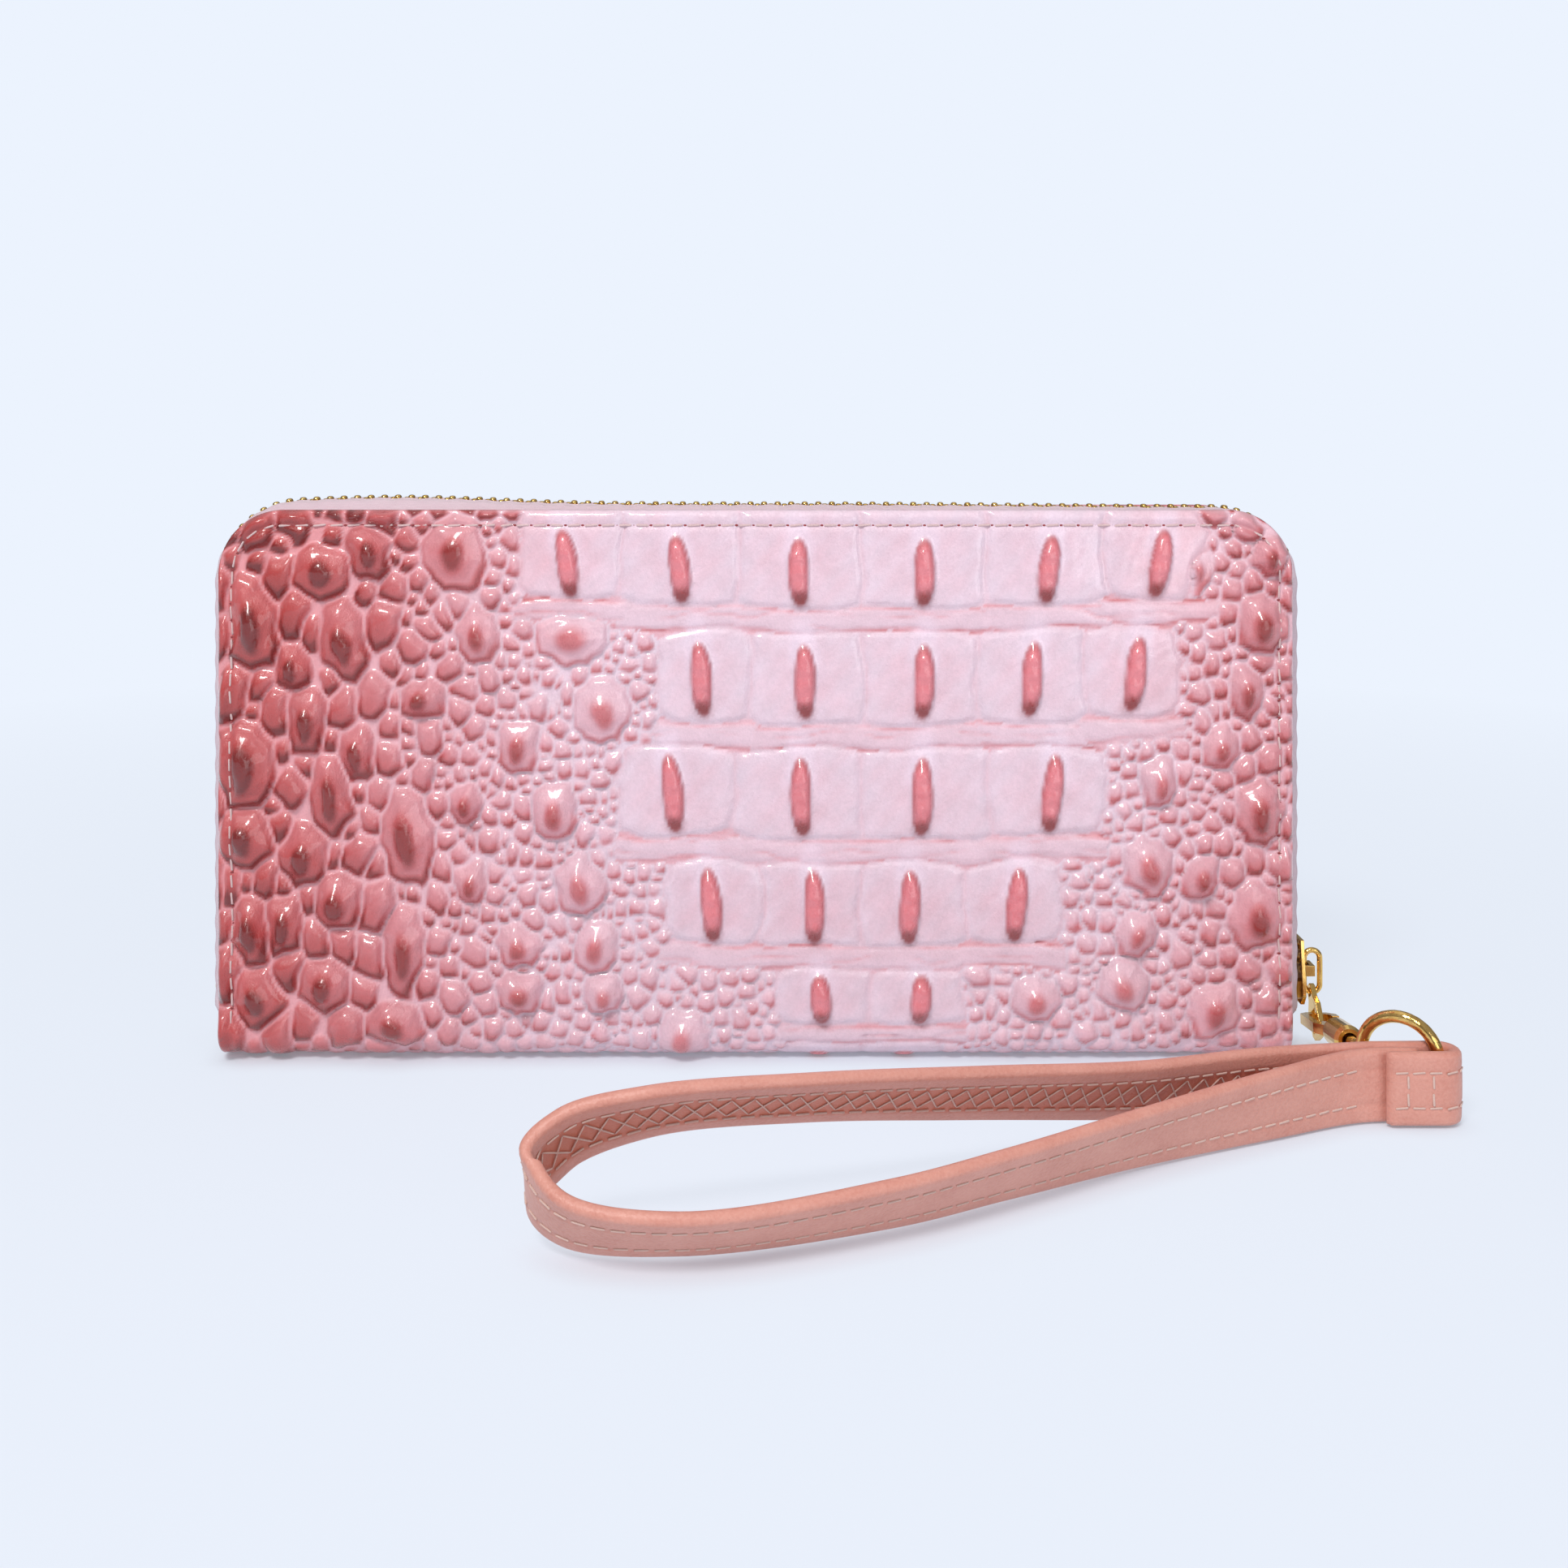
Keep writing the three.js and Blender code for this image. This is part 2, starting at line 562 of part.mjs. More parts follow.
add('spine', alongX(spineOutline(), HALF_WIDTH), 'croc', 'leather');
add('spine_board', box([-90, 90], [-6.5, 6.5], [1.7, 2.3]), 'board', 'cloth');
for (const [name, side] of [['front', -1], ['back', 1]]) {
  add(`${name}_cover`, cover(side), 'croc', 'leather');
  add(`${name}_board`, board(side), 'board', 'cloth');
  add(`${name}_lining`, lining(side), 'lining', 'cloth');
  add(`${name}_bill_panel`, billPanel(side), 'card', 'leather');
  add(`${name}_card_slots`, cardSlots(side), 'card', 'leather');
  add(`${name}_zip_tape`, zipTape(side), 'tape', 'cloth');
  add(`${name}_zip_chain`, zipChain(side), 'gold', 'metal');
  add(`coin_panel_${name}`, coinPanel(side), 'lining', 'cloth');
  add(`coin_tape_${name}`, coinTape(side), 'tape', 'cloth');
  add(`coin_chain_${name}`, coinChain(side), 'gold', 'metal');
}
for (const [name, end] of [['left', -1], ['right', 1]]) {
  add(`${name}_gusset`, gusset(end), 'lining', 'cloth');
  add(`${name}_end_tab`, endTab(end), 'croc', 'leather');
}
add('left_zip_stop', zipStop(-ZIP.halfWidth, 10.2), 'gold', 'metal');
add('right_zip_stop', zipStop(ZIP.halfWidth - 0.2, 5.8), 'gold', 'metal');

add('slider_body', sliderBody(), 'gold', 'metal');
add('link_ring', linkRing(), 'gold', 'metal');
const tab = add('pull_tab', pullTab(), 'gold', 'metal');
tab.position.copy(TAB_EYE);
tab.rotation.x = -THREE.MathUtils.degToRad(TAB.lean);

wallet.add(hookGroup);
add('hook_body', hookBody(), 'gold', 'metal', hookGroup);
add('hook_gate', hookGate(), 'gold', 'metal', hookGroup);
add('gate_spring', gateSpring(), 'gold', 'metal', hookGroup);
add('swivel_eye', swivelEye(), 'gold', 'metal', hookGroup);
add('eye_ring', eyeRing(), 'gold', 'metal');
add('strap_band', strapBand(), 'strap', 'leather');

add('coin_slider', coinSlider(), 'gold', 'metal');
add('coin_pull', coinPull(), 'gold', 'metal');

export default wallet;
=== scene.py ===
"""Looks of the zip-around wristlet wallet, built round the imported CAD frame. Lengths in the script are
millimetres in the frame's axes (+X to the strap end, -Y out of the front cover, +Z up); MM turns them
into Blender's metres."""
import math
import bmesh
import bpy
import numpy as np
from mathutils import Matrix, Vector


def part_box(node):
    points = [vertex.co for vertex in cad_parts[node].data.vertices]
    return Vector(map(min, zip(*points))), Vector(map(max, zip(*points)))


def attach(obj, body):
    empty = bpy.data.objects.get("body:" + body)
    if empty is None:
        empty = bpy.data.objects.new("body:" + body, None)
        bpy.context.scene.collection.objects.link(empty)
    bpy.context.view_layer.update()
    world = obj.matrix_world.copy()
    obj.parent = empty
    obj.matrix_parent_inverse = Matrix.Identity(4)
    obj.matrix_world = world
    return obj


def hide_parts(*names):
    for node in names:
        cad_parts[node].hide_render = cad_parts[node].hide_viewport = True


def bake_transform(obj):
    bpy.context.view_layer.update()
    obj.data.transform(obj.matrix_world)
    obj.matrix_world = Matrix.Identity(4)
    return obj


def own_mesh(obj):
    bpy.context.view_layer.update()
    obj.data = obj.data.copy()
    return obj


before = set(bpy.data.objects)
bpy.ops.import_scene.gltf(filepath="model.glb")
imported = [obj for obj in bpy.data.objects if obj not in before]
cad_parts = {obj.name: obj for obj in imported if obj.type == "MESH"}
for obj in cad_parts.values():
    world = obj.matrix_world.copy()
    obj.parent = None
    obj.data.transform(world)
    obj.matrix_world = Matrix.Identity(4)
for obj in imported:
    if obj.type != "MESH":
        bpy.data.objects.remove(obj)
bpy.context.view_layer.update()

MM = 0.001


def node_box(name):
    """Lowest and highest corners of a CAD node in millimetres."""
    low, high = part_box(name)
    return low / MM, high / MM


# ---- sizes from the frame

COVER_LOW, COVER_HIGH = node_box("front_cover")
HALF_WIDTH = COVER_HIGH.x
HEIGHT = COVER_HIGH.z
HALF_DEPTH = -COVER_LOW.y
SPINE_RADIUS = node_box("spine")[1].z
CORNER = 12.0
EDGE_ROUND = 1.5
GRID = 0.5
SIDES = (("front", -1), ("back", 1))

CHAIN_HIGH = node_box("front_zip_chain")[1]
# The line through the middle of the teeth lies this far inside the chain's outer face.
CHAIN_INSET = 0.6
ZIP_HALF = CHAIN_HIGH.x - CHAIN_INSET
ZIP_TOP = CHAIN_HIGH.z - CHAIN_INSET
ZIP_CORNER = 15.0

# ---- small helpers

def srgb(red, green, blue):
    """A display colour, 0 to 255, as linear values."""
    values = np.array([red, green, blue], float) / 255
    return np.where(values <= 0.04045, values / 12.92, ((values + 0.055) / 1.055) ** 2.4)


def smoothstep(low, high, value):
    t = np.clip((value - low) / (high - low), 0, 1)
    return t * t * (3 - 2 * t)


def mesh_object(name, points, faces, material, smooth=True):
    """A mesh from points in millimetres."""
    mesh = bpy.data.meshes.new(name)
    mesh.from_pydata((np.asarray(points, float) * MM).tolist(), [], faces)
    mesh.materials.append(material)
    if smooth:
        mesh.shade_smooth()
    mesh.validate()
    piece = bpy.data.objects.new(name, mesh)
    bpy.context.scene.collection.objects.link(piece)
    return piece


def grid_faces(rows, columns, close_columns=False):
    """Quads over a rows x columns grid of points."""
    column_count = columns if close_columns else columns - 1
    i, j = np.meshgrid(np.arange(rows - 1), np.arange(column_count), indexing="ij")
    here = i * columns + j
    right = i * columns + (j + 1) % columns
    below = here + columns
    across = right + columns
    return np.stack([here, right, across, below], -1).reshape(-1, 4)


def repeat_mesh(points, faces, frames):
    """Copies of one small mesh, at each frame (origin, x axis, y axis, z axis)."""
    all_points = []
    all_faces = []
    for number, (origin, x_axis, y_axis, z_axis) in enumerate(frames):
        basis = np.array([x_axis, y_axis, z_axis], float)
        all_points.append(np.asarray(points) @ basis + np.asarray(origin, float))
        offset = number * len(points)
        all_faces += [[offset + k for k in face] for face in faces]
    return np.concatenate(all_points), all_faces


def paint(piece, name, colours):
    """A colour for each point, read by the materials."""
    layer = piece.data.color_attributes.new(name, "FLOAT_COLOR", "POINT")
    values = np.ones((len(colours), 4), np.float32)
    values[:, :3] = colours
    layer.data.foreach_set("color", values.ravel())


def store(piece, name, values):
    """A number for each point, read by the materials."""
    layer = piece.data.attributes.new(name, "FLOAT", "POINT")
    layer.data.foreach_set("value", np.asarray(values, np.float32))


# ---- material kit

class Nodes:
    """Short calls for building the node tree of one material, or of the world."""

    def __init__(self, name, world=None):
        self.material = world or bpy.data.materials.new(name)
        self.material.use_nodes = True
        self.tree = self.material.node_tree
        self.shader = self.tree.nodes["Background" if world else "Principled BSDF"]

    def add(self, kind, **settings):
        node = self.tree.nodes.new(kind)
        for key, value in settings.items():
            setattr(node, key, value)
        return node

    def link(self, source, target):
        self.tree.links.new(source, target)

    def put(self, socket, value):
        if hasattr(value, "is_output"):
            self.link(value, socket)
        else:
            socket.default_value = value

    def coordinates(self, scale=(1, 1, 1)):
        """Object coordinates in millimetres, stretched by scale."""
        source = self.add("ShaderNodeTexCoord")
        mapping = self.add("ShaderNodeMapping")
        mapping.inputs["Scale"].default_value = [s / MM for s in scale]
        self.link(source.outputs["Object"], mapping.inputs["Vector"])
        return mapping.outputs["Vector"]

    def noise(self, vector, size, detail=3.0, roughness=0.55):
        """Noise with features about size millimetres across."""
        node = self.add("ShaderNodeTexNoise")
        self.link(vector, node.inputs["Vector"])
        node.inputs["Scale"].default_value = 1 / size
        node.inputs["Detail"].default_value = detail
        node.inputs["Roughness"].default_value = roughness
        return node.outputs["Fac"]

    def cells(self, vector, size):
        """Distance from the edges of cells about size millimetres across."""
        node = self.add("ShaderNodeTexVoronoi", feature="DISTANCE_TO_EDGE")
        self.link(vector, node.inputs["Vector"])
        node.inputs["Scale"].default_value = 1 / size
        return node.outputs["Distance"]

    def wave(self, vector, size, direction="X", distortion=0.0):
        node = self.add("ShaderNodeTexWave", bands_direction=direction)
        self.link(vector, node.inputs["Vector"])
        node.inputs["Scale"].default_value = math.pi / 10 / size * 2
        node.inputs["Distortion"].default_value = distortion
        return node.outputs["Fac"]

    def math(self, operation, a, b=0.0):
        node = self.add("ShaderNodeMath", operation=operation)
        self.put(node.inputs[0], a)
        self.put(node.inputs[1], b)
        return node.outputs[0]

    def spread(self, value, low, high, new_low, new_high):
        node = self.add("ShaderNodeMapRange")
        for key, item in zip(("Value", "From Min", "From Max", "To Min", "To Max"),
                             (value, low, high, new_low, new_high)):
            self.put(node.inputs[key], item)
        return node.outputs["Result"]

    def blend(self, share, a, b, mode="MIX"):
        node = self.add("ShaderNodeMix", data_type="RGBA", blend_type=mode)
        self.put(node.inputs[0], share)
        self.put(node.inputs[6], a)
        self.put(node.inputs[7], b)
        return node.outputs[2]

    def shades(self, value, low, high, dark, light):
        """Between two display colours as value goes from low to high."""
        return self.blend(self.spread(value, low, high, 0.0, 1.0), rgba(dark), rgba(light))

    def attribute(self, name, colour=False):
        node = self.add("ShaderNodeAttribute", attribute_name=name)
        return node.outputs["Color" if colour else "Fac"]

    def bump(self, height, depth, after=None):
        """Bump with a depth in millimetres."""
        node = self.add("ShaderNodeBump")
        self.link(height, node.inputs["Height"])
        node.inputs["Distance"].default_value = depth * MM
        if after is not None:
            self.link(after, node.inputs["Normal"])
        return node.outputs["Normal"]

    def finish(self, **values):
        for key, value in values.items():
            self.put(self.shader.inputs[key.replace("_", " ")], value)
        return self.material


def rgba(colour):
    return (*[float(c) for c in colour], 1.0)


# ---- embossed hide

# Horned plates in rows: (height of the row's middle, half the row's height, keel places across).
SCUTE_ROWS = [
    (92.0, 9.2, (-34.4, -13.9, 7.9, 30.8, 53.5, 73.8)),
    (70.0, 8.6, (-9.9, 9.0, 30.7, 50.4, 69.3)),
    (49.0, 8.4, (-15.1, 8.3, 30.4, 54.1)),
    (28.9, 7.7, (-8.1, 10.7, 28.1, 47.6)),
    (12.0, 5.4, (11.9, 30.1)),
    (-1.4, 4.8, (11.6, 27.4)),
]
# The rows sag: each rises to both ends by this much per square millimetre from the centre.
ROW_BOW = 0.0006
ROW_CENTRE = 20.0
KEEL_LENGTH = (6.4, 7.0, 7.4, 7.0, 4.6, 2.8)
SCUTES = sum(len(row[2]) for row in SCUTE_ROWS)
# The kinds of scale.
PLATE, WRINKLE, HORNED, PEBBLE = 3, 2, 1, 0

# Large round scales of the flanks: (across, up, half width, half height, tilt in degrees).
FLANK_SCALES = [
    (-63.5, 41.5, 4.6, 9.0, 6), (-64.0, 20.7, 3.6, 7.6, 4), (-75.0, 77.0, 3.8, 6.8, 8),
    (-79.5, 89.6, 4.4, 4.6, 0), (-70.5, 93.3, 3.8, 4.4, 10), (-55.0, 93.3, 5.4, 6.4, 8),
    (-50.6, 78.5, 3.8, 5.0, 6), (-43.2, 57.8, 4.0, 4.6, 0), (-36.6, 46.0, 4.2, 5.0, 12),
    (-32.0, 32.6, 4.2, 4.8, 10), (-29.0, 21.5, 4.2, 4.4, 0), (-27.7, 12.6, 3.6, 3.8, 0),
    (-43.2, 21.5, 4.2, 3.6, 0), (-43.2, 12.6, 4.0, 3.6, 0), (-33.6, 77.8, 6.4, 5.2, -20),
    (-27.7, 64.4, 5.0, 6.0, 10), (-60.7, 66.4, 4.0, 3.4, 0), (-77.3, 48.9, 3.6, 6.6, 4),
    (-82.5, 38.0, 4.0, 5.4, -6), (-72.9, 56.3, 3.2, 5.0, 10), (-86.2, 25.2, 3.6, 5.2, 0),
    (-75.9, 29.6, 4.2, 5.2, 0), (-92.2, 24.4, 3.4, 6.0, 8), (-93.6, 54.8, 5.2, 8.0, -4),
    (-92.0, 80.0, 4.6, 8.4, 4), (-93.0, 41.0, 4.4, 5.4, 0), (-82.0, 62.0, 3.6, 5.6, 8),
    (-91.0, 12.0, 4.4, 5.4, 10), (-79.0, 14.0, 4.4, 4.6, 0), (-66.0, 7.0, 4.8, 3.6, 0),
    (-52.0, 33.0, 3.2, 3.8, 0), (-53.0, 47.5, 3.0, 3.4, 0), (-84.5, 72.5, 3.0, 4.0, 0),
    (92.3, 80.0, 4.0, 5.6, 0), (89.3, 67.4, 3.4, 4.2, 0), (85.3, 57.8, 3.4, 4.0, 0),
    (91.9, 45.9, 4.2, 6.2, 0), (71.6, 36.3, 4.2, 5.2, 0), (69.3, 23.7, 3.8, 4.4, 0),
    (91.6, 26.7, 4.4, 6.0, 0), (67.1, 14.1, 4.4, 4.4, 0), (83.7, 9.6, 4.8, 4.8, 0),
    (73.5, 51.0, 3.2, 4.2, 0), (81.5, 34.0, 3.2, 4.0, 0), (80.0, 90.5, 3.0, 4.6, 0),
    (94.0, 92.0, 3.4, 3.6, 0), (-13.0, 4.5, 4.6, 5.4, 0), (51.1, 11.9, 4.0, 4.4, 0),
]


def pebble_radius(x):
    """Size of the small scales: fine beside the horned plates, coarse out on the flanks."""
    return 1.45 + 1.35 * smoothstep(-30, -86, x) + 0.7 * smoothstep(72, 98, x)


def plate_seeds():
    """The horned plates, side by side in their rows, then the wrinkled skin between the rows."""
    plates = []
    wrinkles = []
    for row, (middle, half, keels) in enumerate(SCUTE_ROWS):
        for k, x in enumerate(keels):
            before = x - keels[k - 1] if k else 0.85 * (keels[1] - x)
            after = keels[k + 1] - x if k + 1 < len(keels) else 0.85 * before
            centre = x + (after - before) / 4
            width = (before + after) / 4
            gap = 2.0 if row < 4 else 1.5
            square = 2.8 if k in (0, len(keels) - 1) else 7
            level = middle + ROW_BOW * (x - ROW_CENTRE) ** 2
            plates.append((centre, level, width, half, 0, square, PLATE, row, x))
            wrinkles.append((centre, level - half - gap, width, gap, 0, 5, WRINKLE, row, x))
    return plates + wrinkles


# The random fill tries large scales first, then small ones for the gaps that are left.
FILL_TRIES = 22000
LARGE_TRIES = 9000
LARGE_SHARE = (0.7, 1.2)
SMALL_SHARE = (0.38, 0.6)
FILL_HALF = 101
FILL_LOW, FILL_HIGH = -14, 104


def scale_seeds(rng, mirror):
    """Every scale as a row: x, z, half width, half height, tilt, squareness, kind, row, keel x."""
    seeds = plate_seeds()
    for x, z, wide, high, tilt in FLANK_SCALES:
        seeds.append((x, z, wide, high, math.radians(tilt), 2.4, HORNED, 0, x))
    kept = np.array([seed[:4] for seed in seeds])
    big = 2 * SCUTES
    for attempt in range(FILL_TRIES):
        x = rng.uniform(-FILL_HALF, FILL_HALF)
        z = rng.uniform(FILL_LOW, FILL_HIGH)
        share = rng.uniform(*(LARGE_SHARE if attempt < LARGE_TRIES else SMALL_SHARE))
        size = pebble_radius(x) * share
        tall = size * (rng.uniform(0.9, 1.4) + 0.55 * smoothstep(-50, -80, x))
        dx = np.abs(x - kept[:, 0])
        dz = np.abs(z - kept[:, 1])
        reach = np.hypot(dx / (kept[:, 2] + size * 0.86), dz / (kept[:, 3] + tall * 0.86))
        square = np.maximum(dx / (kept[:, 2] + size * 0.7), dz / (kept[:, 3] + tall * 0.7))
        if reach.min() > 1 and square[:big].min() > 1:
            lean = rng.normal(0, 0.2) - 0.25 * smoothstep(-40, -70, x)
            seeds.append((x, z, size, tall, lean, 2.8, PEBBLE, 0, x))
            kept = np.vstack([kept, (x, z, size, tall)])
    seeds = np.array(seeds)
    if mirror:
        seeds[:, [0, 4, 8]] *= -1
    return seeds


def wobble(x, z, size, phase):
    """Smooth wandering between -1 and 1, for boundaries that aren't ruled lines."""
    a = np.sin(x / size + phase) * np.cos(z / size * 1.3 + 2 * phase)
    b = np.sin(x / size * 2.3 - z / size * 1.9 + 3 * phase)
    return 0.6 * a + 0.4 * b


def within_scale(x, z, seed):
    """Place inside a scale in its own half widths and half heights."""
    dx, dz = x - seed[0], z - seed[1]
    across = (dx * np.cos(seed[4]) + dz * np.sin(seed[4])) / seed[2]
    along = (dz * np.cos(seed[4]) - dx * np.sin(seed[4])) / seed[3]
    return across, along


def nearest_scales(x, z, seeds):
    """For each point: the nearest scale and the distances outside the two nearest rims."""
    first = np.full(x.shape, 1e9, np.float32)
    second = np.full(x.shape, 1e9, np.float32)
    owner = np.zeros(x.shape, np.int32)
    for number, seed in enumerate(seeds):
        near = (np.abs(x - seed[0]) < seed[2] + 12) & (np.abs(z - seed[1]) < seed[3] + 12)
        across, along = within_scale(x[near], z[near], seed)
        power = seed[5]
        away = (np.abs(across) ** power + np.abs(along) ** power) ** (1 / power)
        away = (away - 1) * min(seed[2], seed[3])
        closest = first[near]
        nearer = away < closest
        second[near] = np.where(nearer, closest, np.minimum(second[near], away))
        first[near] = np.where(nearer, away, closest)
        owner[near] = np.where(nearer, number, owner[near])
    return owner, first, second


def wrinkle_lines(x, z):
    """Wandering horizontal creases, 1 along each line."""
    phase = z * 1.15 + 1.5 * wobble(x, z, 8.0, 0.8) + 0.5 * wobble(x, z, 2.6, 1.9)
    line = np.exp(-(np.sin(phase) / 0.28) ** 2)
    return line * smoothstep(-0.35, 0.35, wobble(x, z * 2, 5.5, 2.6))


def keel_shape(x, z, seeds, mirror):
    """Height of the horn on each plate, the painted shadow at its foot, and the pale halo round it."""
    height = np.zeros(x.shape)
    foot_shadow = np.zeros(x.shape)
    halo = np.zeros(x.shape)
    turn = -1 if mirror else 1
    for seed in seeds[:SCUTES]:
        row = int(seed[7])
        length = KEEL_LENGTH[row]
        lean = 0.0026 * (seed[8] - 20 * turn)
        dz = z - seed[1] + (0.3 if row else 2.4)
        dx = x - seed[8] - lean * dz + 0.12 * np.sin(dz * 0.5 + seed[0])
        wide = 2.0 - 0.3 * np.clip(dz / length, -1, 1) ** 2
        away = (np.abs(dx / wide) ** 2.6 + np.abs(dz / length) ** 2.6) ** (1 / 2.6)
        rough = 1 + 0.05 * np.sin(dz * 2.1 + seed[0]) + 0.05 * np.sin(dx * 3 + dz * 1.3)
        height = np.maximum(height, smoothstep(1.1, 0.5, away) * rough)
        # A painted shadow under each horn's lower end.
        shadow_blot = np.hypot(dx / 2.3, (dz + 0.8 * length) / 2.4) + 0.1 * np.sin(dx * 4 + dz * 3)
        foot_shadow = np.maximum(foot_shadow, smoothstep(1.15, 0.3, shadow_blot))
        halo = np.maximum(halo, smoothstep(2.1, 1.15, away) * smoothstep(-0.5, 0.8, dz / length))
    return height, foot_shadow, halo


def ombre(x, z):
    """How deep the dye is: strong at the left end, softer at the right end and the top corners."""
    left = smoothstep(-20, -104, x)
    right = 0.5 * smoothstep(58, 102, x)
    top_left = 0.2 * smoothstep(60, 104, z) * smoothstep(-20, -70, x)
    return np.clip(left + right + top_left, 0, 1)


def outline_distance(x, z):
    """Distance in from the cover's outline; its lower edge folds away, so it doesn't count."""
    side = HALF_WIDTH - np.abs(x)
    top = HEIGHT - z
    corner_x = np.abs(x) - (HALF_WIDTH - CORNER)
    corner_z = z - (HEIGHT - CORNER)
    in_corner = (corner_x > 0) & (corner_z > 0)
    return np.where(in_corner, CORNER - np.hypot(corner_x, corner_z), np.minimum(side, top))


def tone_colour(tone, dye):
    """Pale lilac pink in the grooves through coral to deep red on the dyed tops and in painted shade."""
    steps = np.array([0.0, 0.3, 0.6, 1.0])
    light = np.array([srgb(230, 206, 219), srgb(229, 178, 189), srgb(214, 124, 130),
                      srgb(166, 54, 52)])
    deep = np.array([srgb(238, 170, 176), srgb(210, 114, 116), srgb(184, 68, 66),
                     srgb(118, 24, 22)])
    pale = np.stack([np.interp(tone, steps, light[:, c]) for c in range(3)], -1)
    strong = np.stack([np.interp(tone, steps, deep[:, c]) for c in range(3)], -1)
    return pale + (strong - pale) * np.asarray(dye)[..., None]


STITCH_INSET = 2.8
STITCH_PITCH = 3.1
KEEL_RISE = 1.8
# The plain level lies this far under the CAD face, so that the embossing's tops come near it.
SET_BACK = 0.75


class Hide:
    """The embossing of one cover; side is -1 for the front and 1 for the back."""

    def __init__(self, side, seed):
        self.side = side
        self.mirror = side > 0
        self.rng = np.random.default_rng(seed)
        self.seeds = scale_seeds(self.rng, self.mirror)
        self.variety = self.rng.uniform(0.78, 1.15, len(self.seeds))
        self.tint = self.rng.uniform(-0.1, 0.12, len(self.seeds))

    def read(self, x, z):
        """Height in millimetres above the plain leather, colour and gloss at each point."""
        bent_x = x + 0.6 * wobble(x, z, 5.1, 1.0) + 0.2 * wobble(x, z, 1.7, 0.4)
        bent_z = z + 0.6 * wobble(z, x, 6.3, 2.0) + 0.2 * wobble(x, z, 2.1, 1.7)
        owner, first, second = nearest_scales(bent_x, bent_z, self.seeds)
        scale = self.seeds[owner].transpose(2, 0, 1) if x.ndim == 2 else self.seeds[owner].T
        kind = scale[6]
        across, along = within_scale(bent_x, bent_z, scale)
        size = np.minimum(scale[2], scale[3])
        to_groove = np.clip((second - first) / 2, 0, None)
        to_rim = np.clip(0.55 + 0.1 * size - first, 0, None)
        to_groove = np.where(kind < WRINKLE, np.minimum(to_groove, to_rim), to_groove)
        to_fold = np.clip(0.3 + (1 - np.abs(along)) * size, 0, None)
        to_groove = np.where(kind == WRINKLE, to_fold, to_groove)
        dome = 1 - (1 - np.clip(to_groove / size, 0, 1)) ** 2
        ridge, foot_shadow, halo = keel_shape(x, z, self.seeds, self.mirror)
        horn = smoothstep(1.0, 0.3, np.hypot(across / 0.5, (along + 0.06) / 0.7))
        horn = horn * (kind == HORNED)
        folds = wrinkle_lines(x, z)
        height = self.height(x, z, kind, owner, size, to_groove, dome, horn, folds)
        height = height + KEEL_RISE * ridge
        inset = outline_distance(x, z)
        seam = np.exp(-((inset - STITCH_INSET) / 0.7) ** 2)
        height = height * (1 - 0.3 * seam) - 0.12 * seam
        colour, tone = self.dye(x, z, kind, owner, to_groove, dome, along, horn, folds)
        colour = self.dye_and_shade_keels(colour, ridge, foot_shadow, halo)
        gloss = np.clip(0.25 + 0.6 * tone + 0.5 * ridge, 0, 1)
        return height, colour, gloss

    def height(self, x, z, kind, owner, size, to_groove, dome, horn, folds):
        narrow = 1 - np.exp(-(to_groove / 0.55) ** 2)
        broad = 1 - np.exp(-(to_groove / 0.6) ** 2)
        crease = wobble(x, z, 0.9, 0.3) * wobble(x, z, 1.3, 2.2)
        flat = 0.6 * narrow + 0.14 * dome + 0.08 * crease
        wrinkled = 0.25 * broad + 0.22 * dome - 0.3 * folds
        swell = np.clip(size / 2.2, 0.6, 1.55)
        ring = np.exp(-((to_groove / size - 0.3) / 0.09) ** 2) * (kind == HORNED)
        rounded = (0.8 * broad + 1.0 * dome) * swell - 0.25 * ring + 1.0 * horn
        rounded = (rounded + 0.14 * crease) * self.variety[owner]
        return np.where(kind == PLATE, flat, np.where(kind == WRINKLE, wrinkled, rounded))

    def dye(self, x, z, kind, owner, to_groove, dome, along, horn, folds):
        # The dye, with painted shade in the plate and wrinkle grooves, the creases and the lower half of
        # each round scale.
        dye = ombre(x * (-1 if self.mirror else 1), z)
        depth = np.clip(dye + self.tint[owner], 0, 1)
        line = 1 - np.exp(-(to_groove / 0.3) ** 2)
        # Painted shade: low rises to the lower end of each scale and under darkens its lower rim, as if
        # lit from above.
        low = np.clip(0.5 - along * 0.5, 0, 1)
        under = smoothstep(1.5, 0.4, to_groove) * smoothstep(0.4, 0.95, low)
        plate = 0.02 + 0.13 * dome + 0.05 * wobble(x, z, 1.6, 0.5)
        # Painted shade: edge darkens both edges of each wrinkle band, where the plates meet it, and
        # folds darken its creases.
        edge = np.exp(-((to_groove - 0.35) / 0.35) ** 2) * smoothstep(-0.7, 0.3, wobble(x, z, 7, 1.1))
        wrinkled = 0.14 + 0.28 * folds + 0.42 * edge
        rounded = 0.18 + 0.4 * dome * (0.15 + 0.85 * low) + 0.6 * under
        rounded = rounded + 0.8 * horn * (0.25 + 0.75 * low)
        share = np.where(kind == PLATE, plate, np.where(kind == WRINKLE, wrinkled, rounded))
        # Painted shade deepens the grooves of plates and wrinkle bands; round scales keep pale grooves
        # with less dye.
        share = np.where(kind >= WRINKLE, share + 0.14 * (1 - line), share * line)
        tone = np.clip(share * (0.72 + 0.75 * depth) + 0.12 * depth, 0, 1)
        return tone_colour(tone, dye), tone

    def dye_and_shade_keels(self, colour, ridge, foot_shadow, halo):
        """Horns: light coral on top, painted shade darkening the rim and a painted shadow, darkest, at
        the foot.
        """
        glow = (srgb(242, 222, 238), 0.45 * halo * (1 - ridge))
        top = (srgb(226, 128, 136), smoothstep(0.05, 0.5, ridge))
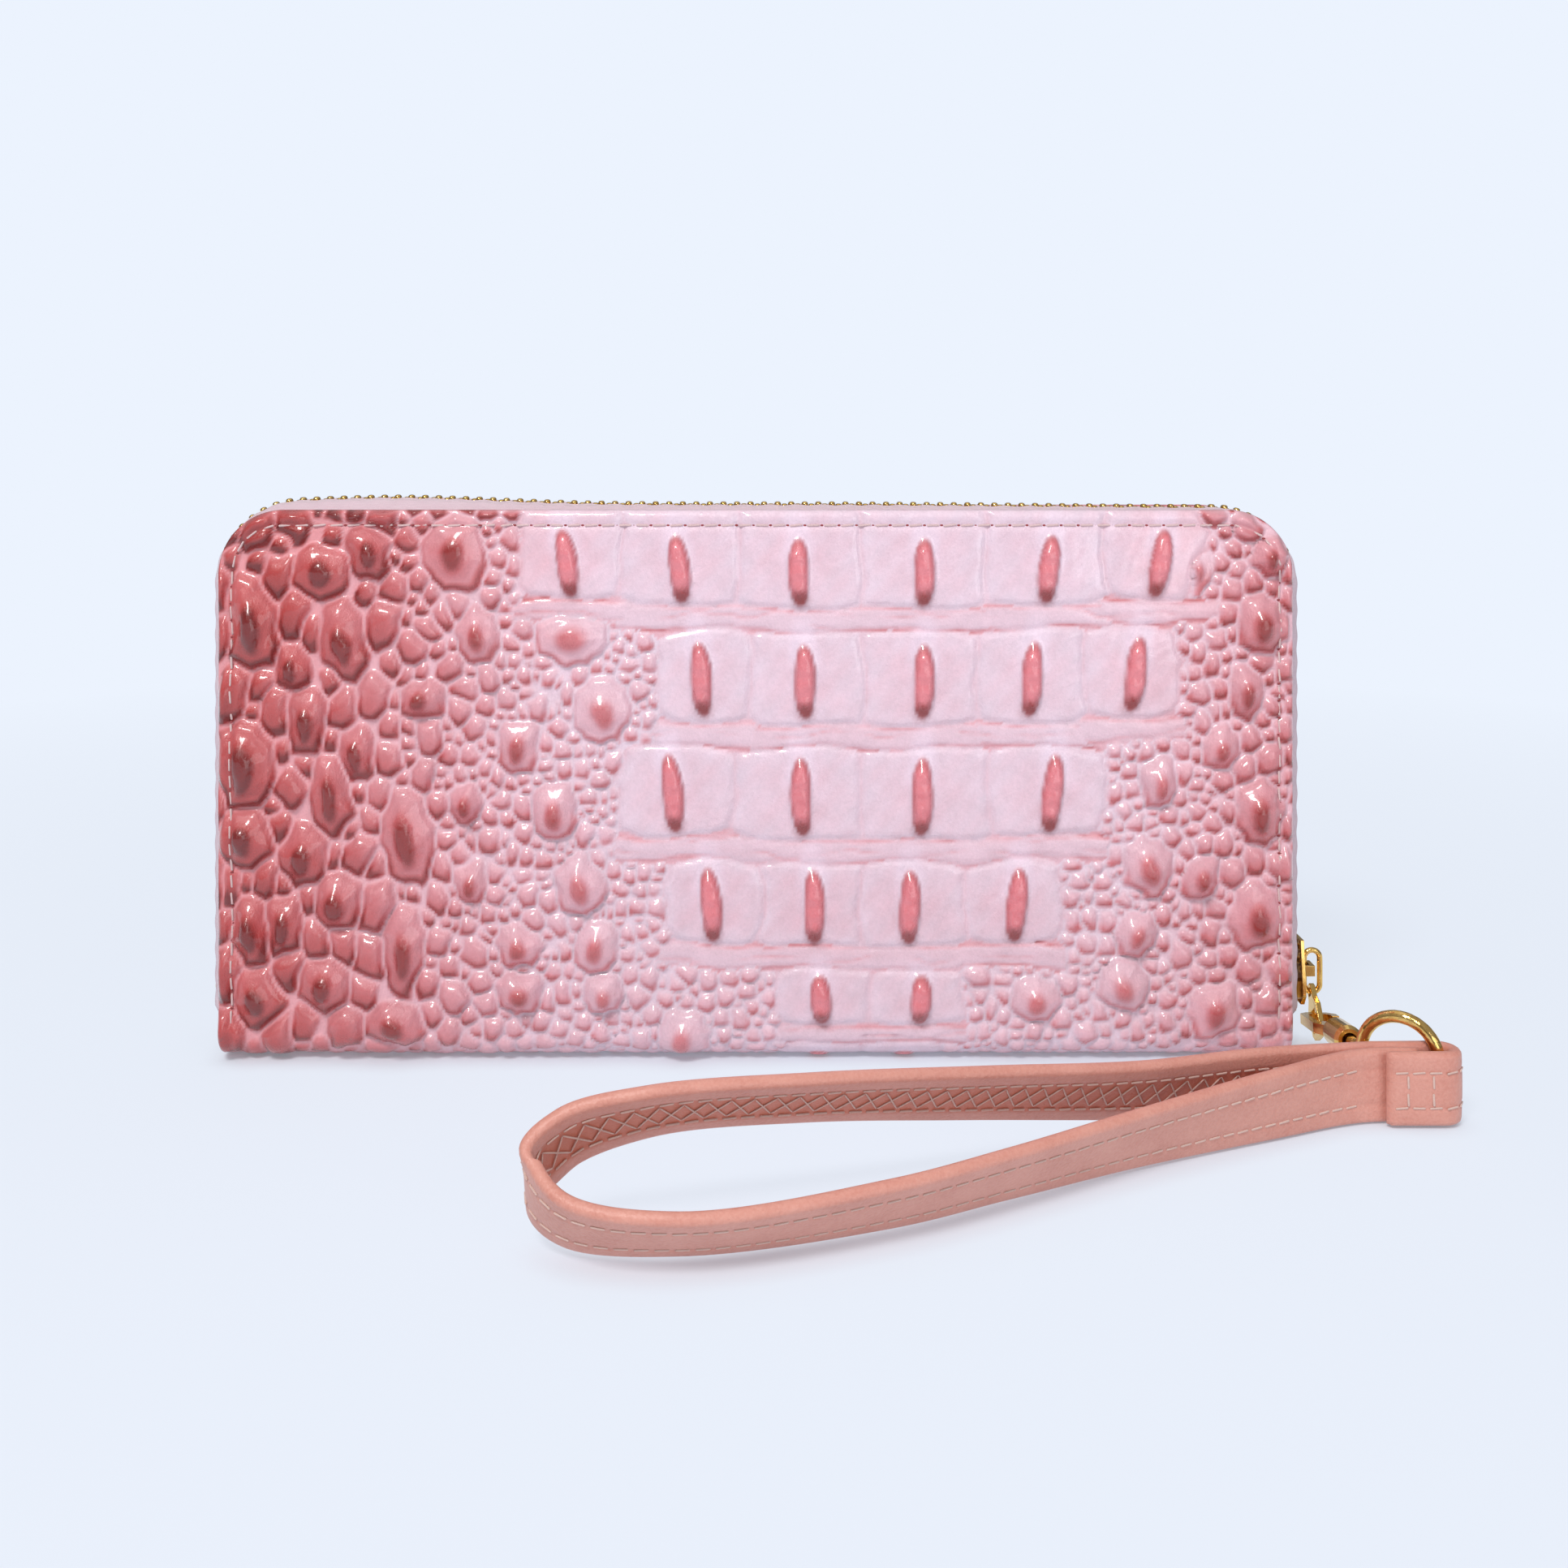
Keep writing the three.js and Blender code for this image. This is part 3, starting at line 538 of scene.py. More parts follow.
        # Painted shade on the slopes round each horn.
        rim = (srgb(178, 66, 68), 0.55 * smoothstep(0.03, 0.25, ridge) * smoothstep(0.8, 0.4, ridge))
        # Painted shadow at the foot of each horn.
        base = (srgb(142, 38, 36), 0.9 * foot_shadow * (0.45 + 0.55 * smoothstep(0.0, 0.3, ridge)))
        for dye, share in (glow, top, rim, base):
            colour = colour + (dye - colour) * share[..., None]
        return colour

    def lift(self, x, z, height):
        """Distance out from the plain face of the wrap, once embossed, padded and edge-rolled."""
        inset = outline_distance(x, z)
        curl = np.clip(EDGE_ROUND - inset, 0, EDGE_ROUND)
        drop = EDGE_ROUND - np.sqrt(np.clip(EDGE_ROUND ** 2 - curl ** 2, 0, None))
        padding = 0.35 * smoothstep(0, 14, inset) * smoothstep(0, 12, z)
        spine = smoothstep(2.5, -3.0, z)
        middle = smoothstep(-7.5, -10.0, z)
        low = smoothstep(6.0, -1.0, z)
        lift = (height * (1 - middle) * (1 - 0.75 * low) - SET_BACK) * (1 - 0.2 * spine)
        lift = lift + padding * (1 - spine)
        lift = np.where(spine > 0.35, np.minimum(lift, 0.15), lift) * smoothstep(-0.2, 1.2, inset)
        return lift - drop


def cover_rows():
    """Path of the wrap from the top edge to the middle of the spine.

    Each row: (height on the hide, half width, y, z, outward normal's y and z)."""
    rows = []
    for angle in np.linspace(math.pi / 2, 0, 40):
        z = HEIGHT - CORNER + CORNER * math.sin(angle)
        half = HALF_WIDTH - CORNER + CORNER * math.cos(angle)
        rows.append((z, half, -HALF_DEPTH, z, -1.0, 0.0))
    for z in np.arange(HEIGHT - CORNER - GRID, SPINE_RADIUS, -GRID):
        rows.append((z, HALF_WIDTH, -HALF_DEPTH, z, -1.0, 0.0))
    for angle in np.linspace(0, math.pi / 2, 15):
        along = SPINE_RADIUS - SPINE_RADIUS * angle
        y = -HALF_DEPTH + SPINE_RADIUS * (1 - math.cos(angle))
        z = SPINE_RADIUS * (1 - math.sin(angle))
        rows.append((along, HALF_WIDTH, y, z, -math.cos(angle), -math.sin(angle)))
    flat = HALF_DEPTH - SPINE_RADIUS
    for step in np.linspace(0, flat, 15)[1:]:
        along = SPINE_RADIUS * (1 - math.pi / 2) - step
        rows.append((along, HALF_WIDTH, step - flat, 0.0, 0.0, -1.0))
    return np.array(rows)


def leather_cover(name, hide, material):
    """One embossed half of the wrap: a cover and its half of the spine, with turned edges."""
    side = hide.side
    rows = cover_rows()
    edge = np.array([0, 0.08, 0.25, 0.5, 0.85, 1.25])
    inner = np.linspace(-1, 1, int(2 * (HALF_WIDTH - EDGE_ROUND) / GRID) + 1)
    half = rows[:, 1:2]
    x = np.concatenate([-(half - edge), inner * (half - EDGE_ROUND), (half - edge)[:, ::-1]], 1)
    hide_z = np.repeat(rows[:, :1], x.shape[1], 1)
    height, colour, gloss = hide.read(x, hide_z)
    lift = hide.lift(x, hide_z, height)
    y = rows[:, 2:3] + rows[:, 4:5] * lift
    z = np.maximum(rows[:, 3:4] + rows[:, 5:6] * lift, 0.05)
    points = np.stack([x, y * -side, z], -1)
    faces = grid_faces(*x.shape)
    if side < 0:
        faces = faces[:, ::-1]
    rim_points, rim_faces = turned_rim(points, x.shape, side)
    piece = mesh_object(name, np.concatenate([points.reshape(-1, 3), rim_points]),
                        faces.tolist() + rim_faces, material)
    rim_colour = np.tile(tone_colour(0.35, 0.5), (len(rim_points), 1))
    paint(piece, "hide", np.concatenate([colour.reshape(-1, 3), rim_colour]))
    store(piece, "gloss", np.concatenate([gloss.ravel(), np.full(len(rim_points), 0.3)]))
    return piece


TURNED_DEPTH = 1.5


def turned_rim(points, shape, side):
    """The edge's turned-in flap: from the outline back along the inner face."""
    rows, columns = shape
    index = np.arange(rows * columns).reshape(rows, columns)
    loop = np.concatenate([index[::-1, 0], index[0, 1:-1], index[:, -1]])
    border = points.reshape(-1, 3)[loop]
    inward = np.array([0, 0, HEIGHT * 0.45]) - border
    inward[:, 1] = 0
    inward /= np.linalg.norm(inward, axis=1, keepdims=True)
    under = border[:, 2] < SPINE_RADIUS
    inward[under] = 0
    inward[under, 0] = -np.sign(border[under, 0])
    steps = []
    for reach, rise in ((0.5, 0.6), (8.0, 1.1)):
        step = border + inward * reach
        step[~under, 1] = side * (HALF_DEPTH - TURNED_DEPTH)
        step[under, 2] += rise
        step[under, 1] -= side * rise * (np.abs(border[under, 1]) > HALF_DEPTH - SPINE_RADIUS)
        steps.append(step)
    count = len(loop)
    base = rows * columns
    faces = []
    for i in range(count - 1):
        wall = [int(loop[i]), int(loop[i + 1]), base + i + 1, base + i]
        flap = [base + i, base + i + 1, base + count + i + 1, base + count + i]
        faces += [face if side < 0 else face[::-1] for face in (wall, flap)]
    return np.concatenate(steps), faces


def leather_material():
    """Glazed embossed leather: fine pores and creases over the relief's dye and painted shade."""
    nodes = Nodes("croc_leather")
    where = nodes.coordinates()
    hide = nodes.attribute("hide", colour=True)
    gloss = nodes.attribute("gloss")
    mottle = nodes.spread(nodes.noise(where, 4.0, 4.0, 0.6), 0.3, 0.7, 0.94, 1.05)
    speck = nodes.spread(nodes.noise(where, 0.5, 2.0), 0.35, 0.65, 0.975, 1.02)
    shade = nodes.math("MULTIPLY", mottle, speck)
    tint = nodes.add("ShaderNodeCombineColor")
    for channel in tint.inputs:
        nodes.link(shade, channel)
    colour = nodes.blend(1.0, hide, tint.outputs[0], "MULTIPLY")
    pores = nodes.cells(where, 0.42)
    wrinkles = nodes.noise(nodes.coordinates((1, 1, 0.6)), 1.1, 5.0, 0.7)
    grain = nodes.bump(pores, 0.05)
    normal = nodes.bump(wrinkles, 0.25, grain)
    rough = nodes.spread(gloss, 0.0, 1.0, 0.42, 0.2)
    rough = nodes.math("ADD", rough, nodes.spread(wrinkles, 0.3, 0.7, -0.04, 0.05))
    return nodes.finish(Base_Color=colour, Roughness=rough, Normal=normal, Coat_Weight=0.8,
                        Coat_Roughness=0.1, Specular_IOR_Level=0.5)


# ---- cloth, thread and metal

def metal_material():
    """Polished light gold with faint wear."""
    nodes = Nodes("gold_metal")
    where = nodes.coordinates()
    wear = nodes.noise(where, 1.6, 4.0, 0.6)
    scratch = nodes.noise(nodes.coordinates((6, 1, 1)), 0.5, 2.0)
    colour = nodes.shades(wear, 0.35, 0.65, srgb(224, 178, 98), srgb(240, 202, 126))
    rough = nodes.spread(wear, 0.3, 0.7, 0.1, 0.2)
    normal = nodes.bump(scratch, 0.012)
    return nodes.finish(Base_Color=colour, Metallic=1.0, Roughness=rough, Normal=normal)


def thread_material(name, colour):
    """Twisted sewing thread, with painted shade in the dips of the twist."""
    nodes = Nodes(name)
    where = nodes.coordinates()
    twist = nodes.wave(where, 0.22, "DIAGONAL", 0.6)
    # Painted shade: darker where the twist's bump dips.
    tint = nodes.shades(twist, 0.2, 0.8, colour * 0.82, colour)
    return nodes.finish(Base_Color=tint, Roughness=0.6, Normal=nodes.bump(twist, 0.05),
                        Sheen_Weight=0.2)


def woven_material(name, light, dark, size, depth=0.12):
    """Plain weave: two sets of crossing threads, with painted shade where the weave dips."""
    nodes = Nodes(name)
    where = nodes.coordinates()
    across = nodes.wave(where, size, "X", 0.4)
    up = nodes.wave(where, size, "Z", 0.4)
    through = nodes.wave(where, size, "Y", 0.4)
    weave = nodes.math("MULTIPLY", nodes.math("MAXIMUM", across, up), through)
    mottle = nodes.noise(where, 3.0, 3.0)
    # Painted shade in the dips of the weave, times a random mottle.
    share = nodes.math("MULTIPLY", nodes.spread(weave, 0, 1, 0.25, 1.0),
                       nodes.spread(mottle, 0.3, 0.7, 0.8, 1.1))
    colour = nodes.blend(share, rgba(dark), rgba(light))
    return nodes.finish(Base_Color=colour, Roughness=0.78, Normal=nodes.bump(weave, depth),
                        Sheen_Weight=0.3, Sheen_Roughness=0.4)


def smooth_leather_material(name, light, dark, grain_size, depth, rough):
    """Fine-grained plain leather."""
    nodes = Nodes(name)
    where = nodes.coordinates()
    grain = nodes.cells(where, grain_size)
    mottle = nodes.noise(where, 6.0, 4.0, 0.6)
    fine = nodes.noise(where, 0.6, 3.0, 0.6)
    share = nodes.math("MULTIPLY", nodes.spread(mottle, 0.3, 0.7, 0.0, 1.0),
                       nodes.spread(fine, 0.3, 0.7, 0.6, 1.0))
    colour = nodes.blend(share, rgba(dark), rgba(light))
    normal = nodes.bump(fine, depth * 0.7, nodes.bump(grain, depth))
    rough_out = nodes.math("ADD", rough, nodes.spread(fine, 0.3, 0.7, -0.04, 0.06))
    return nodes.finish(Base_Color=colour, Roughness=rough_out, Normal=normal,
                        Specular_IOR_Level=0.4, Sheen_Weight=0.08)


def cardboard_material():
    nodes = Nodes("cardboard")
    where = nodes.coordinates((1, 1, 4))
    fibres = nodes.noise(where, 1.2, 5.0, 0.7)
    colour = nodes.shades(fibres, 0.3, 0.7, srgb(176, 152, 122), srgb(200, 180, 150))
    return nodes.finish(Base_Color=colour, Roughness=0.9, Normal=nodes.bump(fibres, 0.1))


# ---- shared shapes

def capsule(length, radius, rings=3, sides=8):
    """A round-ended thread lying along X, as points and faces."""
    profile = []
    for k in range(rings + 1):
        angle = math.pi / 2 * k / rings
        profile.append((-length / 2 + radius * (1 - math.cos(angle)), radius * math.sin(angle)))
    profile += [(-along, width) for along, width in reversed(profile)]
    points = []
    for along, width in profile:
        for k in range(sides):
            turn = 2 * math.pi * k / sides
            points.append((along, max(width, 0.01) * math.cos(turn),
                           max(width, 0.01) * math.sin(turn)))
    faces = grid_faces(len(profile), sides, close_columns=True)[:, ::-1].tolist()
    return np.array(points), faces


def bead(size, power=3.0, rings=8, sides=12):
    """A rounded block of the given size, as points and faces."""
    points = []
    for i in range(rings + 1):
        polar = math.pi * (0.02 + 0.96 * i / rings)
        for j in range(sides):
            turn = 2 * math.pi * j / sides
            ray = np.array([math.sin(polar) * math.cos(turn), math.sin(polar) * math.sin(turn),
                            math.cos(polar)])
            reach = (np.abs(ray) ** power).sum() ** (1 / power)
            points.append(ray / reach * np.array(size) / 2)
    faces = grid_faces(rings + 1, sides, close_columns=True).tolist()
    faces.append(list(range(sides))[::-1])
    faces.append([rings * sides + k for k in range(sides)])
    return np.array(points), faces


def frame_along(points, up):
    """Unit tangents along a line of points and the side direction square to up."""
    tangent = np.gradient(points, axis=0)
    tangent /= np.linalg.norm(tangent, axis=1, keepdims=True)
    up = np.broadcast_to(up, points.shape)
    side = np.cross(up, tangent)
    side /= np.linalg.norm(side, axis=1, keepdims=True)
    return tangent, side, np.cross(tangent, side)


def distances(points):
    """How far along a line each of its points lies."""
    steps = np.linalg.norm(np.diff(points, axis=0), axis=1)
    return np.concatenate([[0], np.cumsum(steps)])


def points_at(places, points):
    """Points of a line at the given distances along it."""
    along = distances(points)
    return np.stack([np.interp(places, along, points[:, c]) for c in range(points.shape[1])], -1)


def resample(points, pitch):
    """Points at an even pitch along a line."""
    length = distances(points)[-1]
    count = max(int(length / pitch), 1)
    return points_at((np.arange(count) + 0.5) * length / count, points)


def stitch_line(name, points, up, material, pitch=3.1, length=2.2, radius=0.24, sink=0.05):
    """Separate stitches along a line of surface points; up points out of the surface."""
    merged = np.concatenate([points, np.broadcast_to(up, points.shape)], 1)
    spots = resample(merged, pitch)
    tangent, side, normal = frame_along(spots[:, :3], spots[:, 3:])
    rng = np.random.default_rng(len(spots))
    shape, faces = capsule(length, radius)
    frames = []
    for k, spot in enumerate(spots):
        slant = 0.05 + rng.normal(0, 0.03)
        ahead = tangent[k] + slant * side[k]
        across = np.cross(normal[k], ahead)
        frames.append((spot[:3] + normal[k] * (radius * 0.4 - sink), ahead, across, normal[k]))
    all_points, all_faces = repeat_mesh(shape, faces, frames)
    return mesh_object(name, all_points, all_faces, material)


def two_sided(name, middle, normal, half_thick, material):
    """A sheet with two faces from its middle surface; it thins to nothing at its border."""
    rows, columns = middle.shape[:2]
    thick = half_thick[..., None] * normal
    outer = (middle + thick).reshape(-1, 3)
    inner = (middle - thick).reshape(-1, 3)
    faces = grid_faces(rows, columns)
    both = np.concatenate([faces, faces[:, ::-1] + rows * columns])
    piece = mesh_object(name, np.concatenate([outer, inner]), both.tolist(), material)
    shape = bmesh.new()
    shape.from_mesh(piece.data)
    bmesh.ops.remove_doubles(shape, verts=shape.verts, dist=1e-7)
    bmesh.ops.dissolve_degenerate(shape, dist=1e-8, edges=shape.edges)
    shape.to_mesh(piece.data)
    shape.free()
    return piece


def edge_shares(count, rim=0.01):
    """Places from -1 to 1 with extra ones beside both ends, where an edge rounds off."""
    inner = np.linspace(-1 + 4 * rim, 1 - 4 * rim, count)
    near = np.array([0, 0.15, 0.5, 1.0, 2.0]) * rim
    return np.concatenate([-1 + near, inner, (1 - near)[::-1]])


def rounded_thickness(inset, half, roll):
    """Half thickness at a distance in from the border, with a round edge."""
    t = np.clip(inset / roll, 0, 1)
    return half * np.sqrt(np.clip(1 - (1 - t) ** 2, 0, 1))


def upright_sheet(name, box_low, box_high, corner, material, swell=None, count=120):
    """A rounded-corner upright sheet filling a CAD sheet's box, gently uneven like cloth."""
    half_width = (box_high.x - box_low.x) / 2
    centre_x = (box_high.x + box_low.x) / 2
    bottom, top = box_low.z, box_high.z
    y = (box_low.y + box_high.y) / 2
    half = (box_high.y - box_low.y) / 2
    straight = bottom + (edge_shares(count // 2) + 1) / 2 * (top - corner - bottom)
    straight = straight[straight < top - corner - 0.2]
    arc = top - corner + corner * np.sin(np.linspace(0, math.pi / 2, 16))
    z = np.concatenate([straight, arc])[:, None]
    over = np.clip(z - (top - corner), 0, corner)
    width = half_width - corner + np.sqrt(np.clip(corner ** 2 - over ** 2, 0, None))
    x = edge_shares(count, 0.5 / half_width) * width
    z = np.broadcast_to(z, x.shape)
    inset = np.minimum(np.minimum(width - np.abs(x), z - bottom), top - z)
    in_corner = (np.abs(x) > half_width - corner) & (z > top - corner)
    away = np.hypot(np.abs(x) - half_width + corner, z - top + corner)
    inset = np.where(in_corner, np.clip(corner - away, 0, None), inset)
    thick = rounded_thickness(inset, half, half)
    bend = np.zeros(x.shape) if swell is None else swell(x, z, inset)
    middle = np.stack([x + centre_x, y + bend, z], -1)
    normal = np.zeros(middle.shape)
    normal[..., 1] = -1
    return two_sided(name, middle, normal, thick, material)


def add_piece(piece, body, slot, *nodes):
    """Rides a finished piece on its body and hides the nodes it stands for; the slot is not used."""
    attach(piece, body)
    if nodes:
        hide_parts(*nodes)
    return piece


def sew(name, line, side, thread, body, slot, pitch=2.6, length=1.9, radius=0.14):
    """A seam along a line of points on a sheet that faces the given side."""
    seam = stitch_line(name, line, (0, side, 0), thread, pitch, length, radius)
    add_piece(seam, body, slot)


# ---- topstitching on the covers

def arch(half, top, corner, start, turns, step=0.5):
    """Up the right side, over the top and down the left: rows of x, z and outward x, z."""
    centre = half - corner
    rows = [(half, z, 1, 0) for z in np.arange(start, top - corner, step)]
    for end, angles in ((1, (0, math.pi / 2)), (-1, (math.pi / 2, math.pi))):
        for angle in np.linspace(*angles, turns):
            c, s = math.cos(angle), math.sin(angle)
            rows.append((end * centre + corner * c, top - corner + corner * s, c, s))
        if end > 0:
            rows += [(x, top, 0, 1) for x in np.arange(centre - step, -centre, -step)]
    rows += [(-half, z, -1, 0) for z in np.arange(top - corner - step, start, -step)]
    return np.array(rows)


def outline_line(inset, start):
    """Points up the left side, over the top and down the right side, inside the outline."""
    line = arch(HALF_WIDTH - inset, HEIGHT - inset, CORNER - inset, start, 24)[:, :2]
    return line * (-1, 1)


def topstitch(name, hide, material, hole_shade_material):
    """The seam round one cover, set down into the embossing."""
    line = outline_line(STITCH_INSET, 7.0)
    height = hide.read(line[:, 0], line[:, 1])[0]
    lift = hide.lift(line[:, 0], line[:, 1], height)
    lift = np.convolve(np.pad(lift, 4, mode="edge"), np.ones(9) / 9, mode="valid")
    y = hide.side * (HALF_DEPTH + lift)
    points = np.stack([line[:, 0], y, line[:, 1]], -1)
    facing = (0, hide.side, 0)
    seam = stitch_line(name, points, facing, material, STITCH_PITCH, 2.3, 0.2, -0.02)
    return seam, needle_holes(f"{name}_holes", points, hide.side, hole_shade_material)


def needle_holes(name, points, side, material):
    """Small dark dents where the thread enters the leather, between the stitches: painted shade of the
    needle holes.
    """
    count = len(resample(points, STITCH_PITCH))
    spots = points_at(np.arange(count + 1) * distances(points)[-1] / count, points)
    shape, faces = bead((0.7, 0.3, 0.42), 2.0, 5, 8)
    frames = [((x, y - side * 0.03, z), (1, 0, 0), (0, 1, 0), (0, 0, 1)) for x, y, z in spots]
    all_points, all_faces = repeat_mesh(shape, faces, frames)
    return mesh_object(name, all_points, all_faces, material)


# ---- outer zip

TAPE_START = 6.5
CHAIN_START = 12.2
TOOTH_PITCH = 2.56
TOOTH_DEPTH = 1.9
# The slider passes the teeth below RUN_TOP.
RUN_TOP = 76.0

# Across one tape, from under the cover's edge out to the teeth: (outward, away from the middle).
TAPE_LINE = [(-10.2, 10.45), (-4.6, 10.45), (-3.0, 8.4), (-1.2, 5.9), (-0.5, 4.6), (-0.5, 1.85)]


def zip_line(start):
    """The zip's U from the lower right over the top to the lower left: x, z and outward x, z."""
    return arch(ZIP_HALF, ZIP_TOP, ZIP_CORNER, start, 28)


def chain_rise(x, z):
    """How far the closed zip bows up along the top: most at the left, least at the right."""
    hump = 1.3 * np.exp(-((x + 68) / 26) ** 2) - 0.5 - 0.5 * smoothstep(10, 90, x)
    return hump * smoothstep(ZIP_TOP - 14, ZIP_TOP, z)


def zip_tape(name, side, material):
    """One woven tape, with a cord along the edge that carries the teeth."""
    line = resample(zip_line(TAPE_START), 0.7)
    rows = line[:, None, :]
    knots = np.array(TAPE_LINE)
    reach = distances(knots)[-1]
    places = (edge_shares(34, 0.02) + 1) / 2 * reach
    out, away = points_at(places, knots).T[:, None]
    rise = chain_rise(rows[..., 0], rows[..., 1]) * smoothstep(-5.5, -1.0, out)
    number = np.arange(len(line))[:, None]
    ripple = 0.1 * np.sin(number * 0.9 + out) * smoothstep(-4.5, -1.5, out)
    x = rows[..., 0] + rows[..., 2] * (out + rise + ripple)
    z = rows[..., 1] + rows[..., 3] * (out + rise + ripple)
    y = np.broadcast_to(away * side, x.shape)
    middle = np.stack([x, y, z], -1)
    normal = surface_normals(middle) * -side
    inset = np.minimum(places, reach - places)[None, :]
    ends = np.minimum(number, len(line) - 1 - number) * 0.7
    thick = rounded_thickness(np.minimum(inset, ends), 0.25, 0.3)
    cord = 0.28 * np.exp(-((reach - places - 0.6) / 0.5) ** 2)[None, :]
    return two_sided(name, middle, normal, thick + cord * (thick > 0.2), material)


def surface_normals(points):
    """Unit normals of a grid of points."""
    down = np.gradient(points, axis=0)
    across = np.gradient(points, axis=1)
    normal = np.cross(down, across)
    return normal / np.maximum(np.linalg.norm(normal, axis=-1, keepdims=True), 1e-9)


def zip_teeth(name, side, spots, material):
    """Individual metal teeth, those of one side set between those of the other."""
    body, faces = bead((1.25, TOOTH_DEPTH, 1.25), 2.8)
    frames = []
    for x, z, out_x, out_z in spots:
        out = np.array([out_x, 0, out_z])
        out /= np.linalg.norm(out)
        behind = 0.45 * smoothstep(ZIP_TOP - 14, ZIP_TOP, z) if side > 0 else 0
        origin = np.array([x, side * TOOTH_DEPTH / 2, z]) + out * (chain_rise(x, z) - behind)
        along = np.cross(out, (0, 1, 0))
        frames.append((origin, along, (0, 1, 0), out))
    points, all_faces = repeat_mesh(body, faces, frames)
    return mesh_object(name, points, all_faces, material)


def build_outer_zip(tape, metal):
    """Tapes and teeth; the teeth that the slider passes are a piece of their own."""
    for name, side in SIDES:
        body = f"{name}_half"
        add_piece(zip_tape(f"{name}_tape", side, tape), body, "zip_tape", f"{name}_zip_tape")
        spots = resample(zip_line(CHAIN_START), TOOTH_PITCH)
        if side > 0:
            spots = (spots[:-1] + spots[1:]) / 2
        passed = (spots[:, 0] > 0) & (spots[:, 1] < RUN_TOP)
        fixed = zip_teeth(f"{name}_teeth", side, spots[~passed], metal)
        add_piece(fixed, body, "gold_metal", f"{name}_zip_chain")
        parting = zip_teeth(f"{name}_teeth_run", side, spots[passed], metal)
        add_piece(parting, body, "gold_metal")
        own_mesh(parting)


# ---- strap

# The band's middle line: (x, y, z, lean of its top edge towards the front in degrees).
STRAP_PATH = np.array([
    (104, -36.35, 6.4, 0), (84, -41, 7.6, 14), (62, -50, 9.6, 29), (35, -61.5, 13.6, 37),
    (9, -72, 17, 42), (-14, -78.6, 17.6, 40), (-26, -80.2, 14.4, 30), (-30.2, -83.6, 10.4, 20),
    (-25.5, -88.6, 6.9, 35), (-9.5, -90.6, 5.6, 45), (20, -82, 5.8, 41), (38.5, -72.4, 6.0, 38),
    (60, -60, 6.1, 29), (84, -47.6, 6.3, 12), (101, -39.6, 6.3, 0), (111.6, -38.8, 6.3, 0),
])
BAND_HALF = 6.1
BAND_THICK = 2.1
# Height of the band's middle line at the tab, and how far each seam is from that line.
BAND_MIDDLE = 6.5
SEAM_ACROSS = 2.9
RING_BAR = np.array([114.7, -38.8])
RING_WIRE = 1.1
WRAP = RING_WIRE + 0.3 + BAND_THICK / 2


def smooth_path(knots, per_span):
    """Centripetal Catmull-Rom curve through the knots; extra columns are carried along."""
    padded = np.vstack([2 * knots[0] - knots[1], knots, 2 * knots[-1] - knots[-2]])
    gaps = np.sqrt(np.linalg.norm(np.diff(padded[:, :3], axis=0), axis=1))
    times = np.concatenate([[0], np.cumsum(gaps)])
    points = []
    for i in range(1, len(padded) - 2):
        t0, t1, t2, t3 = times[i - 1:i + 3]
        p0, p1, p2, p3 = padded[i - 1:i + 3]
        for t in np.linspace(t1, t2, per_span, endpoint=False):
            a1 = p0 + (p1 - p0) * (t - t0) / (t1 - t0)
            a2 = p1 + (p2 - p1) * (t - t1) / (t2 - t1)
            a3 = p2 + (p3 - p2) * (t - t2) / (t3 - t2)
            b1 = a1 + (a2 - a1) * (t - t0) / (t2 - t0)
            b2 = a2 + (a3 - a2) * (t - t1) / (t3 - t1)
            points.append(b1 + (b2 - b1) * (t - t1) / (t2 - t1))
    points.append(knots[-1])
    return np.array(points)


def strap_frames():
    """The band's middle line with its width and outward directions: tab, fold, then the loop."""
    rows = [(x, RING_BAR[1] - WRAP, BAND_MIDDLE, 0) for x in np.linspace(104.6, 113.6, 10)]
    for angle in np.linspace(-math.pi / 2, math.pi / 2, 14):
        rows.append((RING_BAR[0] + WRAP * math.cos(angle), RING_BAR[1] + WRAP * math.sin(angle),
                     BAND_MIDDLE, 0))
    path = np.vstack([rows, smooth_path(STRAP_PATH, 14)])
    path = resample(path, 0.8)
    tangent = np.gradient(path[:, :3], axis=0)
    tangent /= np.linalg.norm(tangent, axis=1, keepdims=True)
    lean = np.radians(path[:, 3])
    width = np.stack([0 * lean, -np.sin(lean), np.cos(lean)], -1)
    width -= tangent * (width * tangent).sum(1, keepdims=True)
    width /= np.linalg.norm(width, axis=1, keepdims=True)
    return path[:, :3], tangent, width, np.cross(tangent, width)


def band_section():
    """Round-edged cross-section of the band as (across, out) pairs."""
    half = BAND_THICK / 2
    bulge = BAND_THICK * 0.42
    reach = BAND_HALF - bulge

    def edge(end, first):
        """The round edge at one end of the section, half a turn on from the first angle."""
        return [(end * reach + bulge * math.cos(angle), half * math.sin(angle))
                for angle in np.linspace(first, first - math.pi, 9)[1:-1]]

    flat = np.linspace(-1, 1, 25)
    points = []
    for share in flat:
        dent = 0.16 * np.exp(-((abs(share * reach) - SEAM_ACROSS) / 0.4) ** 2)
        points.append((share * reach, half + 0.12 * (1 - share ** 2) - dent))
    points += edge(1, math.pi / 2)
    for share in flat[::-1]:
        recess = 0.22 * smoothstep(SEAM_ACROSS + 0.5, SEAM_ACROSS - 0.1, abs(share * reach))
        points.append((share * reach, recess - half))
    points += edge(-1, -math.pi / 2)
    return np.array(points)


